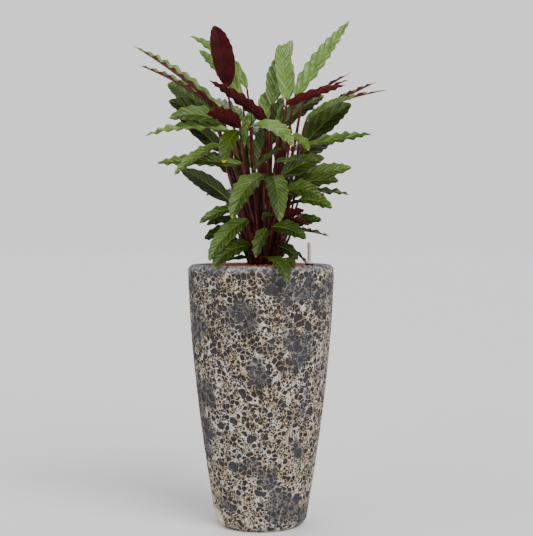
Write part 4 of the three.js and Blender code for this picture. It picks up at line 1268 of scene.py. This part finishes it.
def makeShoots(shoots):
    tree = shootTree()
    skins = {
        "Stalk sides": stalk["sides"],
        "Leaf top": leafTopMaterial(),
        "Leaf underside": leafUnderMaterial(),
        "Stalk skin": stalkMaterial(),
    }
    for number, shoot in enumerate(shoots, 1):
        chance = random.Random(100 + number)
        sheets = [bladeSheets(leaf, chance) for leaf in shoot["leaves"]]
        lines = [stalkLine(leaf, shoot["foot"]) for leaf in shoot["leaves"]]
        lines.append(sheathLine(shoot["foot"], shoot["leaves"]))
        places = np.concatenate([sheet["places"] for sheet in sheets] + [np.array(line[0]) for line in lines])
        starts = np.cumsum([0] + [len(sheet["places"]) for sheet in sheets])
        faces = np.concatenate([sheet["faces"] + start for sheet, start in zip(sheets, starts)])
        edges, at = [], int(starts[-1])
        for line, _, _ in lines:
            edges += [(at + i, at + i + 1) for i in range(len(line) - 1)]
            at += len(line)
        name = f"shoot_{number:02d}"
        piece = addPiece(f"leafy_{name}", (places * mm).tolist(), faces.tolist(), edges)
        mesh = piece.data
        mesh.polygons.foreach_set("use_smooth", sum((sheet["isSmooth"] for sheet in sheets), []))
        stalkPoints = sum(len(line[0]) for line in lines)
        for title in ("follow", "tone"):
            values = np.concatenate([sheet[title] for sheet in sheets] + [np.zeros((stalkPoints, 3))])
            mesh.attributes.new(title, "FLOAT_VECTOR", "POINT").data.foreach_set("vector", values.ravel())
        bladePoints = [0.0] * int(starts[-1])
        radii = bladePoints + [r * mm for line in lines for r in line[1]]
        heights = bladePoints + [h for line in lines for h in line[2]]
        mesh.attributes.new("stalkRadius", "FLOAT", "POINT").data.foreach_set("value", radii)
        mesh.attributes.new("stalkHeight", "FLOAT", "POINT").data.foreach_set("value", heights)
        isUnder = sum((sheet["isUnder"] for sheet in sheets), [])
        mesh.attributes.new("isUnder", "BOOLEAN", "FACE").data.foreach_set("value", isUnder)
        settle(piece, tree, skins)
        declare(piece, "leaf", name)


def dressPackedNodes():
    black = plasticMaterial("potPlastic", tint(32, 32, 34), 0.6)
    # The bed and root ball under the strewn granules take the granule colour painted much darker: painted
    # shade for the gaps between granules
    shadedBed = granuleMaterial("shadedGranuleBed", 0.7)
    for node, material in (("insert", black), ("culture_pot", black), ("granules", shadedBed), ("root_ball", shadedBed)):
        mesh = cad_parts[node].data
        mesh.materials.clear()
        mesh.materials.append(material)


def addStudio():
    size = studio["floorSize"] / 2
    floor = addPiece("studio_floor", [(-size, -size, 0), (size, -size, 0), (size, size, 0), (-size, size, 0)],
                     [(0, 1, 2, 3)])
    material, _, shader = startMaterial("paleFloor", 0.8, 0.2)
    shader.inputs["Base Color"].default_value = studio["floorColour"]
    floor.data.materials.append(material)
    world = bpy.data.worlds.new("paleStudio")
    world.use_nodes = True
    tree = world.node_tree
    background = tree.nodes["Background"]
    background.inputs["Color"].default_value = studio["backdrop"]
    isSeen = addNode(tree, "ShaderNodeLightPath").outputs["Is Camera Ray"]
    strength = pick(tree, isSeen, studio["backdropGlow"], studio["backdropSeen"])
    tree.links.new(strength, background.inputs["Strength"])
    bpy.context.scene.world = world
    for given in studio["lights"]:
        light = bpy.data.objects.new(given["name"], bpy.data.lights.new(given["name"], "SUN"))
        light.data.angle = math.radians(given["width"])
        light.data.energy = given["strength"]
        light.location = given["from"]
        light.rotation_euler = (-Vector(given["from"])).to_track_quat("-Z", "Y").to_euler()
        bpy.context.scene.collection.objects.link(light)


print("camera and studio")
addCamera()
addStudio()
print("pot")
makePot()
print("granules")
shoots = groupShoots()
makeGranules([shoot["foot"] for shoot in shoots])
print("water gauge")
makeGauge()
print("leafy shoots")
makeShoots(shoots)
print("insert, culture pot and roots")
dressPackedNodes()
